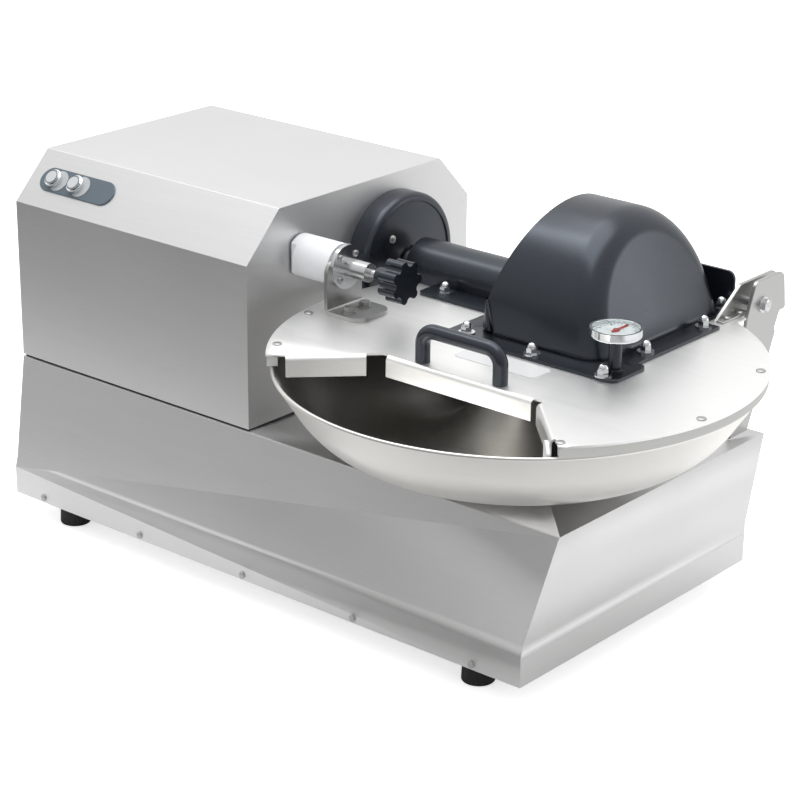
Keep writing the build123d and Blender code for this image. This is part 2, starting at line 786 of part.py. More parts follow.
tab_right = flange_right + 12
arm_way = spindle_behind_bowl + flange_back + 2 - (ear_behind_bowl - arm_foot)
tab_depth = 54.0
cover_way = cover_radius + clear
with BuildPart() as hood:
    with BuildSketch(Plane.YZ.offset(bowl_x - hood_left)):
        add(arch(hood_half_depth, hood_height))
    extrude(amount=hood_left + hood_right)
    fillet(hood.edges().filter_by(lambda e: e.geom_type == GeomType.ELLIPSE).sort_by(Axis.X)[-1],
           hood_right_round)
    fillet(hood.edges().filter_by(lambda e: e.geom_type == GeomType.ELLIPSE).sort_by(Axis.X)[0],
           hood_left_round)
    with BuildSketch(Plane((bowl_x, spindle_y, lid_top))):
        with Locations(((flange_right - flange_left) / 2, (flange_back - flange_front) / 2)):
            RectangleRounded(flange_right + flange_left, flange_back + flange_front, flange_corner)
        # Corner left out beside the hinge arm
        with Locations((hinge_arm_at + flange_corner / 2 + 1, flange_back)):
            Rectangle(flange_corner + 8, 2 * arm_way, mode=Mode.SUBTRACT)
        # Tab for the thermometer
        with Locations((tab_right / 2, tab_depth / 2 - flange_front)):
            RectangleRounded(tab_right, tab_depth, flange_corner)
    extrude(amount=flange)
    add(hood_core.part, mode=Mode.SUBTRACT)
    # Way for the spindle through the end wall, and for the foot of the spindle cover
    with BuildSketch(Plane.YZ.offset(bowl_x - flange_left - 1)):
        with Locations((spindle_y, spindle_z)):
            Circle(cover_radius - cover_wall)
        with Locations((spindle_y, (spindle_z + lid_top) / 2 - 1)):
            Rectangle(2 * (cover_radius - cover_wall), spindle_z - lid_top + 2)
    extrude(amount=flange_left - hood_left + hood_wall + 24, mode=Mode.SUBTRACT)
    with BuildSketch(Plane.XY.offset(lid_top)):
        with Locations((bowl_x - (flange_left + hood_left) / 2 - 1, spindle_y)):
            Rectangle(flange_left - hood_left + 2, 2 * cover_way)
    extrude(amount=flange, mode=Mode.SUBTRACT)
hood.part.label = "hood"

# ---- Spindle cover: arched tunnel with side flanges, ends against the hood ----
with BuildPart() as shaft_cover:
    with BuildSketch(Plane.YZ.offset(bowl_x - cover_left)):
        with Locations((spindle_y, spindle_z)):
            Circle(cover_radius)
        with Locations((spindle_y, (spindle_z + lid_top) / 2)):
            Rectangle(2 * cover_radius, spindle_z - lid_top)
        with Locations((spindle_y, lid_top - cover_radius)):
            Rectangle(4 * cover_radius, 2 * cover_radius, mode=Mode.SUBTRACT)
    extrude(amount=cover_left - hood_left - clear)
    with BuildSketch(Plane.XY.offset(lid_top)):
        with Locations((bowl_x - (cover_left + flange_left + clear) / 2, spindle_y)):
            RectangleRounded(cover_left - flange_left - clear, 2 * cover_flange, 6)
    extrude(amount=flange)
    with BuildSketch(Plane.YZ.offset(bowl_x - cover_left - 1)):
        with Locations((spindle_y, spindle_z)):
            Circle(cover_radius - cover_wall)
        with Locations((spindle_y, (spindle_z + lid_top) / 2 - 1)):
            Rectangle(2 * (cover_radius - cover_wall), spindle_z - lid_top + 2)
    extrude(amount=cover_left + 1, mode=Mode.SUBTRACT)
shaft_cover.part.label = "shaft_cover"

# ---- Rear guard plate behind the hood ----
upstand_back = 3.0
upstand_height = 35.0
with BuildPart() as rear_guard:
    upstand_y = spindle_y + flange_back - 9
    with BuildSketch(Plane((bowl_x, upstand_y, flange_top), x_dir=(1, 0, 0), z_dir=(0, 1, 0))):
        with Locations((0, -upstand_height / 2)):
            RectangleRounded(flange_left + flange_right - 12, upstand_height, 8)
    extrude(amount=upstand_back)
rear_guard.part.label = "rear_guard"

# ---- Lid handle ----
handle_x = bowl_x + handle_centre
handle_y = bowl_y - handle_from_bowl
with BuildPart() as handle:
    handle_plane = Plane((handle_x, handle_y, lid_top), x_dir=(1, 0, 0), z_dir=(0, -1, 0))
    with BuildLine(handle_plane) as handle_line:
        FilletPolyline(
            (-handle_pitch / 2, 4),
            (-handle_pitch / 2, handle_rise),
            (handle_pitch / 2, handle_rise),
            (handle_pitch / 2, 4),
            radius=12,
        )
    with BuildSketch(Plane((handle_x - handle_pitch / 2, handle_y, lid_top + 4))):
        Circle(handle_bar_radius)
    sweep(path=handle_line.line)
    with BuildSketch(Plane((handle_x, handle_y, lid_top))):
        with GridLocations(handle_pitch, 0, 2, 1):
            Circle(handle_foot_radius)
    extrude(amount=5)
handle.part.label = "handle"

# ---- Thermometer ----
thermo_x = bowl_x + thermo_right
thermo_y = bowl_y + thermo_front
dial_z = lid_top + thermo_height
with BuildPart() as thermo_post:
    with BuildSketch(Plane((thermo_x, thermo_y, flange_top))):
        Circle(9)
    extrude(amount=4)
    with BuildSketch(Plane((thermo_x, thermo_y, flange_top))):
        Circle(6)
    extrude(amount=dial_z - 9 - flange_top)
thermo_post.part.label = "thermo_post"

with BuildPart() as thermo_case:
    with BuildSketch(Plane((thermo_x, thermo_y, dial_z - 9))):
        Circle(thermo_radius)
    extrude(amount=9)
    fillet(thermo_case.edges().group_by(Axis.Z)[0], 3)
    with BuildSketch(Plane((thermo_x, thermo_y, dial_z))):
        Circle(thermo_radius - 2)
    extrude(amount=-5, mode=Mode.SUBTRACT)
    with BuildSketch(Plane((thermo_x, thermo_y, dial_z - 5))):
        Circle(1.5)
    extrude(amount=2.5)
thermo_case.part.label = "thermo_case"

with BuildPart() as thermo_lens:
    with BuildSketch(Plane((thermo_x, thermo_y, dial_z - 1.5))):
        Circle(thermo_radius - 2)
    extrude(amount=1.5)
thermo_lens.part.label = "thermo_lens"

with BuildPart() as thermo_needle:
    with BuildSketch(Plane((thermo_x, thermo_y, dial_z - 4.2))):
        Circle(3)
        with BuildLine():
            Polyline((-1.2, -6), (1.2, -6), (0.4, thermo_radius - 6), (-0.4, thermo_radius - 6), close=True)
        make_face()
        Circle(1.5 + running, mode=Mode.SUBTRACT)
    extrude(amount=1.2)
thermo_needle.part.label = "thermo_needle"

# ---- Lid lock beside the housing ----
block_start = housing_right + lock_gap
leg_x = block_start + lock_length
with BuildPart() as lock_block:
    with BuildSketch(Plane.YZ.offset(block_start)):
        with Locations((lock_y, lock_z)):
            Circle(lock_radius)
            Circle(lock_rod_radius + running, mode=Mode.SUBTRACT)
    extrude(amount=lock_length)
    # Step cut in the front of its housing end
    with BuildSketch(Plane.YZ.offset(block_start)):
        with Locations((lock_y - lock_radius, lock_z)):
            Rectangle(12, 2 * lock_radius)
    extrude(amount=7, mode=Mode.SUBTRACT)
lock_block.part.label = "lock_block"

leg_top = lock_z + 10
with BuildPart() as lock_bracket:
    with BuildSketch(Plane((leg_x, lock_y, lid_top), x_dir=(1, 0, 0), z_dir=(0, -1, 0))):
        with BuildLine():
            Polyline(
                (0, leg_top - lid_top),
                (bracket, leg_top - lid_top),
                (bracket, bracket_bend),
            )
            CenterArc((bracket_bend, bracket_bend), bracket_bend - bracket, 180, 90)
            Polyline(
                (bracket_bend, bracket),
                (bracket_foot, bracket),
                (bracket_foot, 0),
                (bracket_bend, 0),
            )
            CenterArc((bracket_bend, bracket_bend), bracket_bend, 180, 90)
            Line((0, bracket_bend), (0, leg_top - lid_top))
        make_face()
    extrude(amount=bracket_width / 2, both=True)
    fillet(lock_bracket.edges().filter_by(Axis.X).group_by(Axis.Z)[-1], 14)
    fillet(lock_bracket.edges().filter_by(Axis.Z).group_by(Axis.X)[-1], 14)
    with BuildSketch(Plane.YZ.offset(leg_x - 1)):
        with Locations((lock_y, lock_z)):
            Circle(lock_rod_radius + 1)
    extrude(amount=bracket + 2, mode=Mode.SUBTRACT)
lock_bracket.part.label = "lock_bracket"

flange_x = leg_x + bracket
collar_length = 32.0
with BuildPart() as lock_flange:
    with BuildSketch(Plane.YZ.offset(flange_x)):
        with Locations((lock_y, lock_z)):
            Circle(lock_radius + 0.7)
    extrude(amount=bracket)
    with BuildSketch(Plane.YZ.offset(flange_x)):
        with Locations((lock_y, lock_z)):
            Circle(9.25)
    extrude(amount=collar_length)
    with BuildSketch(Plane.YZ.offset(flange_x)):
        with Locations((lock_y, lock_z)):
            Circle(lock_rod_radius + running)
    extrude(amount=collar_length, mode=Mode.SUBTRACT)
lock_flange.part.label = "lock_flange"

knob_x = flange_x + collar_length + lock_travel + 1
knob_hub = 15.0
knob_body = 20.0
with BuildPart() as lock_rod:
    with BuildSketch(Plane.YZ.offset(block_start + 1)):
        with Locations((lock_y, lock_z)):
            Circle(lock_rod_radius)
    extrude(amount=knob_x - block_start - 1)
    chamfer(lock_rod.edges().sort_by(Axis.X)[0], 1)
lock_rod.part.label = "lock_rod"

with BuildPart() as lock_knob:
    with BuildSketch(Plane.YZ.offset(knob_x + knob_hub)):
        with Locations((lock_y, lock_z)):
            Circle(knob_radius - 4.5)
            with PolarLocations(knob_radius - 5, knob_lobes):
                Circle(5)
            with PolarLocations(knob_radius - 1, knob_lobes, start_angle=180 / knob_lobes):
                Circle(4.5, mode=Mode.SUBTRACT)
    extrude(amount=knob_body)
    with BuildSketch(Plane.YZ.offset(knob_x)):
        with Locations((lock_y, lock_z)):
            Circle(8)
    extrude(amount=knob_hub, taper=-8)
lock_knob.part.label = "lock_knob"

# ---- Hinge: arms on the lid, posts on the base, pins fixed in the posts ----
arm_back = ear_behind_bowl - hinge_behind_bowl
arm_front = arm_back - arm_foot
foot_reach = hinge_post_at - hinge_arm_at - hinge_plate - 2.0
pins = {}
arms = {}
posts = {}
for side, word in ((1, "right"), (-1, "left")):
    arm_x = bowl_x + side * hinge_arm_at
    arm_plane = Plane((arm_x, hinge_y, hinge_z), x_dir=(0, side, 0), z_dir=(side, 0, 0))
    low = lid_top - hinge_z
    with BuildPart() as arm:
        with BuildSketch(arm_plane):
            Circle(arm_round)
            with Locations((side * (arm_front + arm_back) / 2, low + 4)):
                Rectangle(arm_back - arm_front, 8)
            make_hull()
            with Locations((0, low - 25)):
                Rectangle(200, 50, mode=Mode.SUBTRACT)
            Circle(hinge_pin_radius + running, mode=Mode.SUBTRACT)
        extrude(amount=hinge_plate)
        with BuildSketch(Plane.XY.offset(lid_top)):
            with Locations((arm_x + side * (hinge_plate + foot_reach / 2), hinge_y + (arm_front + arm_back) / 2)):
                Rectangle(foot_reach, arm_back - arm_front)
        extrude(amount=3)
    arm.part.label = "hinge_arm_" + word
    arms[arm.part.label] = arm.part

    post_x = bowl_x + side * hinge_post_at
    post_plane = Plane((post_x, hinge_y, hinge_z), x_dir=(0, 1, 0), z_dir=(1, 0, 0))
    down = top_z - hinge_z
    with BuildPart() as post:
        with BuildSketch(post_plane):
            with BuildLine():
                Line((-post_foot_front, down), (-post_front, 0))
                Spline(
                    (-post_front, 0),
                    (0, post_crown),
                    (post_crown_back, post_top),
                    (post_nose, post_nose_up),
                    tangents=((0.15, 1), (0.1, -1)),
                )
                Polyline(
                    (post_nose, post_nose_up),
                    (post_back, -post_hook_down),
                    (post_hook_in, 2 - post_hook_down),
                    (post_neck, -post_neck_down),
                    (post_waist, -post_waist_down),
                    (-post_foot_back, down),
                    (-post_foot_front, down),
                )
            make_face()
            Circle(hinge_pin_radius, mode=Mode.SUBTRACT)
        extrude(amount=side * hinge_plate)
        with BuildSketch(Plane.XY.offset(top_z)):
            with Locations(
                (
                    post_x - side * (post_flange - hinge_plate) / 2,
                    hinge_y - (post_foot_front + post_foot_back) / 2,
                )
            ):
                Rectangle(post_flange + hinge_plate, post_foot_front - post_foot_back)
        extrude(amount=3)
    post.part.label = "hinge_post_" + word
    posts[post.part.label] = post.part

    with BuildPart() as pin:
        with BuildSketch(arm_plane.offset(-5)):
            Circle(hinge_pin_radius)
        extrude(amount=hinge_post_at - hinge_arm_at + hinge_plate + 5)
        with BuildSketch(arm_plane.offset(hinge_post_at - hinge_arm_at + hinge_plate)):
            RegularPolygon(hinge_pin_radius + 3.5, 6)
        extrude(amount=4)
        with BuildSketch(arm_plane.offset(-clear)):
            Circle(hinge_pin_radius + 3.5)
        extrude(amount=-4)
        with BuildSketch(arm_plane.offset(hinge_plate + clear)):
            Circle(hinge_pin_radius + 3)
        extrude(amount=hinge_post_at - hinge_arm_at - hinge_plate - clear)
    pin.part.label = "hinge_pin_" + word
    pins[pin.part.label] = pin.part

# ---- Bowl scraper on the outer end of the right lip ----
scraper_thickness = 3.0
scraper_inset = lip_bend * 0
lip_face = Plane(
    origin=(bowl_x, bowl_y, 0),
    x_dir=(1 / root2, -1 / root2, 0),
    z_dir=(-1 / root2, -1 / root2, 0),
)
wall_slope = math.pi / 2 - dip
with BuildPart() as scraper:
    with BuildSketch(lip_face.offset(clear * 0)):
        with BuildLine():
            in_x = bowl_rim_radius - 2 * bowl_wall - 2.0
            Polyline(
                (lip_end_radius - 13, lid_top - 6),
                (lip_end_radius - 5, lid_top - 4),
                (in_x, rim_z + 1),
                (in_x - 18 * math.sin(dip), rim_z + 1 - 18 * math.cos(dip)),
                (lip_end_radius - 15, rim_z - 12),
                close=True,
            )
        make_face()
    extrude(amount=scraper_thickness)
    fillet(scraper.edges().filter_by(Axis((0, 0, 0), (1, 1, 0))), 1.5)
scraper.part.label = "scraper"

with BuildPart() as scraper_block:
    with BuildSketch(lip_face.offset(-lid_thickness)):
        with Locations((lip_end_radius - 6, lid_top - lip_bend - 6)):
            Rectangle(10, 12)
    extrude(amount=-10)
    fillet(scraper_block.edges().filter_by(Axis((0, 0, 0), (1, 1, 0))), 2)
scraper_block.part.label = "scraper_block"

# ---- Write one STEP file per piece ----
pieces = [base_shell, bottom_plate, housing_shell, housing_rail, button_plate, motor, spindle_bearing]
pieces += [bearing_guard, motor_pulley, worm_pulley, drive_belt, gearbox, worm_shaft, spindle, knife_nut]
pieces += [bowl, bowl_shaft, bowl_cap, lid_plate, lid_ring, hood, shaft_cover, rear_guard, handle]
pieces += [thermo_post, thermo_case, thermo_lens, thermo_needle, lock_block, lock_bracket, lock_flange]
pieces += [lock_rod, lock_knob, scraper, scraper_block]
solids = [piece.part for piece in pieces]
for group in (feet, bezels, buttons, knives, spacers, arms, posts, pins):
    solids += list(group.values())
os.makedirs("parts", exist_ok=True)
for solid in solids:
    export_step(solid, "parts/" + solid.label + ".step")
print(len(solids), "pieces written")
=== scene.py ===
import json
import math

import bmesh
import bpy
from bpy.props import FloatProperty, PointerProperty, StringProperty
from mathutils import Matrix, Vector


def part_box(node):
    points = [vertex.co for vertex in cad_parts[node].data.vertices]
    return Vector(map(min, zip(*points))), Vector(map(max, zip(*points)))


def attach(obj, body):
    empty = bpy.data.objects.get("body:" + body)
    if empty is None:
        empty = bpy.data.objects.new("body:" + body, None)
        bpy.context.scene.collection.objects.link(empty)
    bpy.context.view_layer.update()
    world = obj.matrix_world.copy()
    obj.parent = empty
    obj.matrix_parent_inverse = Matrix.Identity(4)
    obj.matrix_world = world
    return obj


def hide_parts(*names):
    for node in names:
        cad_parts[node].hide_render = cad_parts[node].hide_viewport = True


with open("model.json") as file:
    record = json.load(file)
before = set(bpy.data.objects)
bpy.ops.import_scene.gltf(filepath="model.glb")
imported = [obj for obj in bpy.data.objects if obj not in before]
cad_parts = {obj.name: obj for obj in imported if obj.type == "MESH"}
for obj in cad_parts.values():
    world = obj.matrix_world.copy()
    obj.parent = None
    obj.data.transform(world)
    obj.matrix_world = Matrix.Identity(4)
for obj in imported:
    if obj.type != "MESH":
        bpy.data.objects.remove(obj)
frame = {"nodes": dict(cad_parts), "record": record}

bl_info = {
    "name": "Bowl cutter looks",
    "version": (1, 0, 0),
    "blender": (4, 5, 0),
    "location": "View3D > Sidebar > Bowl Cutter",
    "description": "Finishes, fasteners and small trim for a tabletop bowl cutter, with its studio stage",
    "category": "Object",
}

MM = 0.001
SHEET_ON_LID = 3 * MM


def corners(box):
    """A box from the frame as its low and high corners."""
    return [Vector(corner) for corner in box]


BASE_LOW, BASE_HIGH = corners(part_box("base_shell"))
BOWL_LOW, BOWL_HIGH = corners(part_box("bowl"))
PLATE_LOW, PLATE_HIGH = corners(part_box("button_plate"))
PULLEY_LOW, PULLEY_HIGH = corners(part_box("motor_pulley"))
PIN_LOW, PIN_HIGH = corners(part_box("hinge_pin_right"))
LID_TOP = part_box("lid_plate")[1][2]
FLANGE_TOP = LID_TOP + SHEET_ON_LID
BOWL_AXIS = (BOWL_LOW + BOWL_HIGH) / 2
SPINDLE = (PULLEY_LOW + PULLEY_HIGH) / 2
# Left end, front top edge and top of the cabinet: the corner that sizes below are taken from
CORNER = Vector((BASE_LOW.x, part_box("housing_shell")[0][1], BASE_HIGH.z))


def at(x, y, z):
    """A place in millimetres from the cabinet's top front left corner, in metres."""
    return CORNER + Vector((x, y, z)) * MM


# The same axes in millimetres from that corner
BOWL_X = (BOWL_AXIS.x - CORNER.x) / MM
BOWL_Y = (BOWL_AXIS.y - CORNER.y) / MM
SPINDLE_Y = (SPINDLE.y - CORNER.y) / MM
SPINDLE_Z = (SPINDLE.z - CORNER.z) / MM
LID_Z = (LID_TOP - CORNER.z) / MM
FLANGE_Z = (FLANGE_TOP - CORNER.z) / MM
RIM_Z = (BOWL_HIGH.z - CORNER.z) / MM
RIM_RADIUS = (BOWL_HIGH.x - BOWL_LOW.x) / 2 / MM
HINGE_Y = ((PIN_LOW.y + PIN_HIGH.y) / 2 - CORNER.y) / MM
HINGE_Z = ((PIN_LOW.z + PIN_HIGH.z) / 2 - CORNER.z) / MM


# ---- Sizes and colours a user would change ----
class CutterForms(bpy.types.PropertyGroup):
    """Lengths in millimetres"""
    hood_left: FloatProperty(name="Hood left", description="Foot, left of the bowl's axis", default=63)
    hood_right: FloatProperty(name="Hood right", description="Foot, right of the bowl's axis", default=80)
    hood_half: FloatProperty(name="Hood half depth", description="At the foot", default=104)
    hood_height: FloatProperty(name="Hood height", description="Above the lid", default=117)
    hood_crown: FloatProperty(name="Hood crown", description="Radius of the crown", default=99.5)
    hood_lean: FloatProperty(name="Hood lean", description="Lean of its ends, in degrees", default=16.5)
    trough: FloatProperty(name="Trough", description="Outer radius of the bowl's trough", default=101)
    cover_radius: FloatProperty(name="Cover radius", description="Spindle cover", default=27)
    guard_radius: FloatProperty(name="Guard radius", description="Bearing guard", default=68.5)
    arm_at: FloatProperty(name="Arm place", description="Hinge arm from the bowl's axis", default=86)
    post_at: FloatProperty(name="Post place", description="Hinge post from the bowl's axis", default=100)
    handle_radius: FloatProperty(name="Handle radius", description="Bar of the lid handle", default=7)


class CutterStage(bpy.types.PropertyGroup):
    floor_colour: StringProperty(name="Floor", description="Floor colour, sRGB hex", default="#FFFFFF")
    key_power: FloatProperty(name="Key light", description="Power of the top light", default=20.0)
    fill_power: FloatProperty(name="Fill light", description="Power of the side light", default=2.4)
    strip_power: FloatProperty(name="Strip light", description="On the left, overhead", default=3.6)
    world_level: FloatProperty(name="World", description="Strength of the sky on the object", default=0.95)
    sky_front: FloatProperty(name="Sky in front", description="Brightness that metal sees", default=0.40)
    sky_back: FloatProperty(name="Sky behind", description="Brightness that metal sees", default=1.0)
    floor_front: FloatProperty(name="Floor in front", description="Share that metal sees", default=0.17)
    floor_near: FloatProperty(name="Floor near", description="Added to what metal sees", default=0.03)
    lens: FloatProperty(name="Lens", description="Focal length", default=110.5, unit="CAMERA")


class CutterFinishes(bpy.types.PropertyGroup):
    cabinet: StringProperty(name="Cabinet", description="Brushed sheet colour", default="#DCDCDC")
    lid: StringProperty(name="Lid", description="Lid sheet colour", default="#F7F7F6")
    bowl: StringProperty(name="Bowl", description="Spun bowl colour", default="#EBE9E5")
    plastic: StringProperty(name="Black plastic", description="Moulded parts", default="#14181E")
    nylon: StringProperty(name="Nylon", description="White turned and cut parts", default="#F6F7FA")
    panel: StringProperty(name="Panel", description="Button panel colour", default="#64707A")
    grain: FloatProperty(name="Grain", description="Width of the brush lines", default=1.4 * MM,
                         unit="LENGTH")


class CutterFasteners(bpy.types.PropertyGroup):
    nut_radius: FloatProperty(name="Nut radius", description="Acorn nut, across corners",
                              default=5.6 * MM, unit="LENGTH")
    washer_radius: FloatProperty(name="Washer radius", description="Plain washer",
                                 default=8.0 * MM, unit="LENGTH")
    screw_radius: FloatProperty(name="Screw radius", description="Pan head screw",
                                default=4.4 * MM, unit="LENGTH")
    screw_height: FloatProperty(name="Screw height", description="Pan head screw",
                                default=2.4 * MM, unit="LENGTH")


# ---- Materials ----
def linear(hex_colour):
    """sRGB hex to a linear RGBA tuple."""
    parts = [int(hex_colour[i:i + 2], 16) / 255 for i in (1, 3, 5)]
    parts = [c / 12.92 if c <= 0.04045 else ((c + 0.055) / 1.055) ** 2.4 for c in parts]
    return (*parts, 1.0)


def node(tree, kind, inputs=None, **settings):
    """Add one shader or geometry node; inputs are values or sockets to link."""
    made = tree.nodes.new(kind)
    for name, value in settings.items():
        setattr(made, name, value)
    for name, value in (inputs or {}).items():
        if isinstance(value, bpy.types.NodeSocket):
            tree.links.new(value, made.inputs[name])
        else:
            made.inputs[name].default_value = value
    return made


def maths(tree, operation, first, second):
    """One sum of two sockets or numbers."""
    return node(tree, "ShaderNodeMath", {0: first, 1: second}, operation=operation).outputs[0]


def ranged(tree, value, low, high, start=0.0, end=1.0):
    """Map a socket that runs from start to end onto low to high."""
    made = node(tree, "ShaderNodeMapRange", {"Value": value, "From Min": start, "From Max": end,
                                             "To Min": low, "To Max": high})
    return made.outputs["Result"]


def noise(tree, place, scale, detail=2.0, roughness=0.5):
    made = node(tree, "ShaderNodeTexNoise", {"Vector": place, "Scale": scale, "Detail": detail,
                                             "Roughness": roughness})
    return made.outputs["Fac"]


def start_material(name):
    """A material with only its Principled shader and output, and the Object coordinates."""
    material = bpy.data.materials.new(name)
    material.use_nodes = True
    tree = material.node_tree
    tree.nodes.clear()
    shader = node(tree, "ShaderNodeBsdfPrincipled")
    node(tree, "ShaderNodeOutputMaterial", {"Surface": shader.outputs["BSDF"]})
    return material, tree, shader, node(tree, "ShaderNodeTexCoord").outputs["Object"]


def tinted(tree, factor, hex_colour, low, high):
    """A colour that wanders between two shares of itself."""
    colour = linear(hex_colour)
    darker, lighter = ([part * share for part in colour[:3]] + [1.0] for share in (low, high))
    ramp = node(tree, "ShaderNodeMix", {"Factor": factor, "A": darker, "B": lighter}, data_type="RGBA")
    return ramp.outputs["Result"]


def dress(tree, shader, tint, roughness, height, strength, distance=0.0002):
    """Give a shader its colour, its roughness and a fine relief."""
    bump = node(tree, "ShaderNodeBump", {"Height": height, "Strength": strength, "Distance": distance})
    tree.links.new(tint, shader.inputs["Base Color"])
    tree.links.new(roughness, shader.inputs["Roughness"])
    tree.links.new(bump.outputs["Normal"], shader.inputs["Normal"])


def brushed_steel(name, hex_colour, grain, stretch=(1, 90, 90), roughness=0.36):
    """Stainless 1.4301 sheet, belt brushed: straight silky lines, soft stretched reflections.
    Real brush lines are about 0.1 mm apart; they are drawn at the grain width so that they show."""
    material, tree, shader, place = start_material(name)
    lines = node(tree, "ShaderNodeMapping", {"Vector": place, "Scale": stretch})
    streaks = noise(tree, lines.outputs["Vector"], 1 / (90 * grain), detail=4.0, roughness=0.7)
    wear = ranged(tree, noise(tree, place, 7.0), roughness - 0.05, roughness + 0.05)
    rough = maths(tree, "ADD", wear, maths(tree, "MULTIPLY", streaks, 0.10))
    dress(tree, shader, tinted(tree, streaks, hex_colour, 0.93, 1.05), rough, streaks, 0.05)
    shader.inputs["Metallic"].default_value = 1.0
    return material


def spun_steel(name, hex_colour, grain, centre, roughness=0.30):
    """Stainless spun on a lathe: fine rings round an upright axis, a streak that follows the curve."""
    material, tree, shader, place = start_material(name)
    moved = node(tree, "ShaderNodeMapping", {"Vector": place, "Location": tuple(-centre)})
    split = node(tree, "ShaderNodeSeparateXYZ", {"Vector": moved.outputs["Vector"]}).outputs
    squares = [maths(tree, "POWER", split[axis], 2.0) for axis in ("X", "Y")]
    radius = maths(tree, "POWER", maths(tree, "ADD", *squares), 0.5)
    ring = maths(tree, "ADD", radius, maths(tree, "MULTIPLY", split["Z"], 0.6))
    rings = node(tree, "ShaderNodeTexNoise", {"W": ring, "Scale": 1 / grain, "Detail": 3.0},
                 noise_dimensions="1D").outputs["Fac"]
    rough = ranged(tree, rings, roughness - 0.05, roughness + 0.08)
    dress(tree, shader, tinted(tree, rings, hex_colour, 0.96, 1.03), rough, rings, 0.02)
    shader.inputs["Metallic"].default_value = 1.0
    return material


def moulded(name, hex_colour, roughness=0.42, texture=0.0006, depth=0.10, metallic=0.0, variation=0.06,
            ior=1.5, sheen="#FFFFFF"):
    """Injection-moulded or cast skin: a fine even texture that breaks the highlight up."""
    material, tree, shader, place = start_material(name)
    pebble = noise(tree, place, 1 / texture)
    clouds = noise(tree, place, 12.0, detail=3.0)
    rough = ranged(tree, clouds, roughness - 0.04, roughness + 0.06)
    tint = tinted(tree, clouds, hex_colour, 1 - variation, 1 + variation)
    dress(tree, shader, tint, rough, pebble, depth, distance=0.0003)
    shader.inputs["Metallic"].default_value = metallic
    shader.inputs["IOR"].default_value = ior
    shader.inputs["Specular Tint"].default_value = linear(sheen)
    return material


def polished(name, hex_colour, roughness=0.08):
    """Bright chrome plate or a polished fastener: mirror-like with faint handling haze."""
    material, tree, shader, place = start_material(name)
    haze = ranged(tree, noise(tree, place, 160.0, detail=3.0), roughness, roughness + 0.1)
    tree.links.new(haze, shader.inputs["Roughness"])
    shader.inputs["Base Color"].default_value = linear(hex_colour)
    shader.inputs["Metallic"].default_value = 1.0
    return material


def clear_lens(name):
    """Polycarbonate dial cover, polished: clear with a faint tint."""
    material, tree, shader, place = start_material(name)
    tree.links.new(ranged(tree, noise(tree, place, 90.0), 0.01, 0.05), shader.inputs["Roughness"])
    shader.inputs["Base Color"].default_value = linear("#F6FAFA")
    shader.inputs["Transmission Weight"].default_value = 1.0
    shader.inputs["IOR"].default_value = 1.2
    return material


def make_materials():
    """All finishes by their slot in the part's record."""
    finish = bpy.context.scene.cutter_finishes
    grain = finish.grain
    return {
        "cabinet_steel": brushed_steel("brushed_stainless_cabinet", finish.cabinet, grain, roughness=0.40),
        "lid_steel": brushed_steel("brushed_stainless_lid", finish.lid, grain, roughness=0.38),
        "bowl_steel": spun_steel("spun_stainless_bowl", finish.bowl, 1.6 * MM, BOWL_AXIS),
        "plate_steel": brushed_steel("satin_stainless_plate", "#B9B9B8", grain, roughness=0.30),
        "machined_steel": polished("turned_stainless_shaft", "#D2D3D4", roughness=0.16),
        "knife_steel": brushed_steel("ground_knife_steel", "#CFCFD0", grain, stretch=(60, 1, 60),
                                     roughness=0.22),
        "black_plastic": moulded("black_moulded_nylon", finish.plastic, roughness=0.27, texture=0.0009,
                                 depth=0.015, ior=1.72, sheen="#E2ECFB"),
        "white_nylon": moulded("white_turned_nylon", finish.nylon, roughness=0.45, depth=0.04,
                               variation=0.02),
        "foot_rubber": moulded("black_foot_rubber", "#1A1A1B", roughness=0.7, texture=0.0012, depth=0.3),
        "dark_rail": moulded("black_sealing_strip", "#2A2A2A", roughness=0.7),
        "panel_grey": moulded("grey_anodised_panel", finish.panel, metallic=0.35, depth=0.05),
        "button_chrome": polished("chrome_button", "#E3E6E8"),
        "casting": moulded("grey_enamelled_casting", "#4C5256", roughness=0.5, texture=0.002, depth=0.3),
        "lens_glass": clear_lens("clear_polycarbonate_lens"),
        "needle_red": moulded("red_lacquered_needle", "#C8201C", roughness=0.35, depth=0.0),
    }


MATERIALS = {}


# ---- Mesh helpers ----
def add_object(name, data):
    thing = bpy.data.objects.new(name, data)
    bpy.context.collection.objects.link(thing)
    return thing


def soften(mesh):
    """Shade smooth, with the creases kept sharp."""
    mesh.shade_smooth()
    mesh.set_sharp_from_angle(angle=math.radians(35))


def finish_piece(name, mesh_maker, body, slot, material=None, smooth=True):
    """Make an object from a bmesh-building function and let it ride on a body."""
    mesh = bpy.data.meshes.new(name)
    shape = bmesh.new()
    mesh_maker(shape)
    bmesh.ops.recalc_face_normals(shape, faces=shape.faces)
    shape.to_mesh(mesh)
    shape.free()
    piece = add_object(name, mesh)
    mesh.materials.append(material or MATERIALS[slot])
    if smooth:
        soften(mesh)
    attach(piece, body)
    return piece


def turns(count, first=0.0):
    """Even angles round a circle, in radians."""
    return [first + 2 * math.pi * i / count for i in range(count)]


def arc(middle, radius, start, end, steps):
    """Points on an arc, angles in radians."""
    angles = [start + (end - start) * k / steps for k in range(steps + 1)]
    return [(middle[0] + radius * math.cos(a), middle[1] + radius * math.sin(a)) for a in angles]


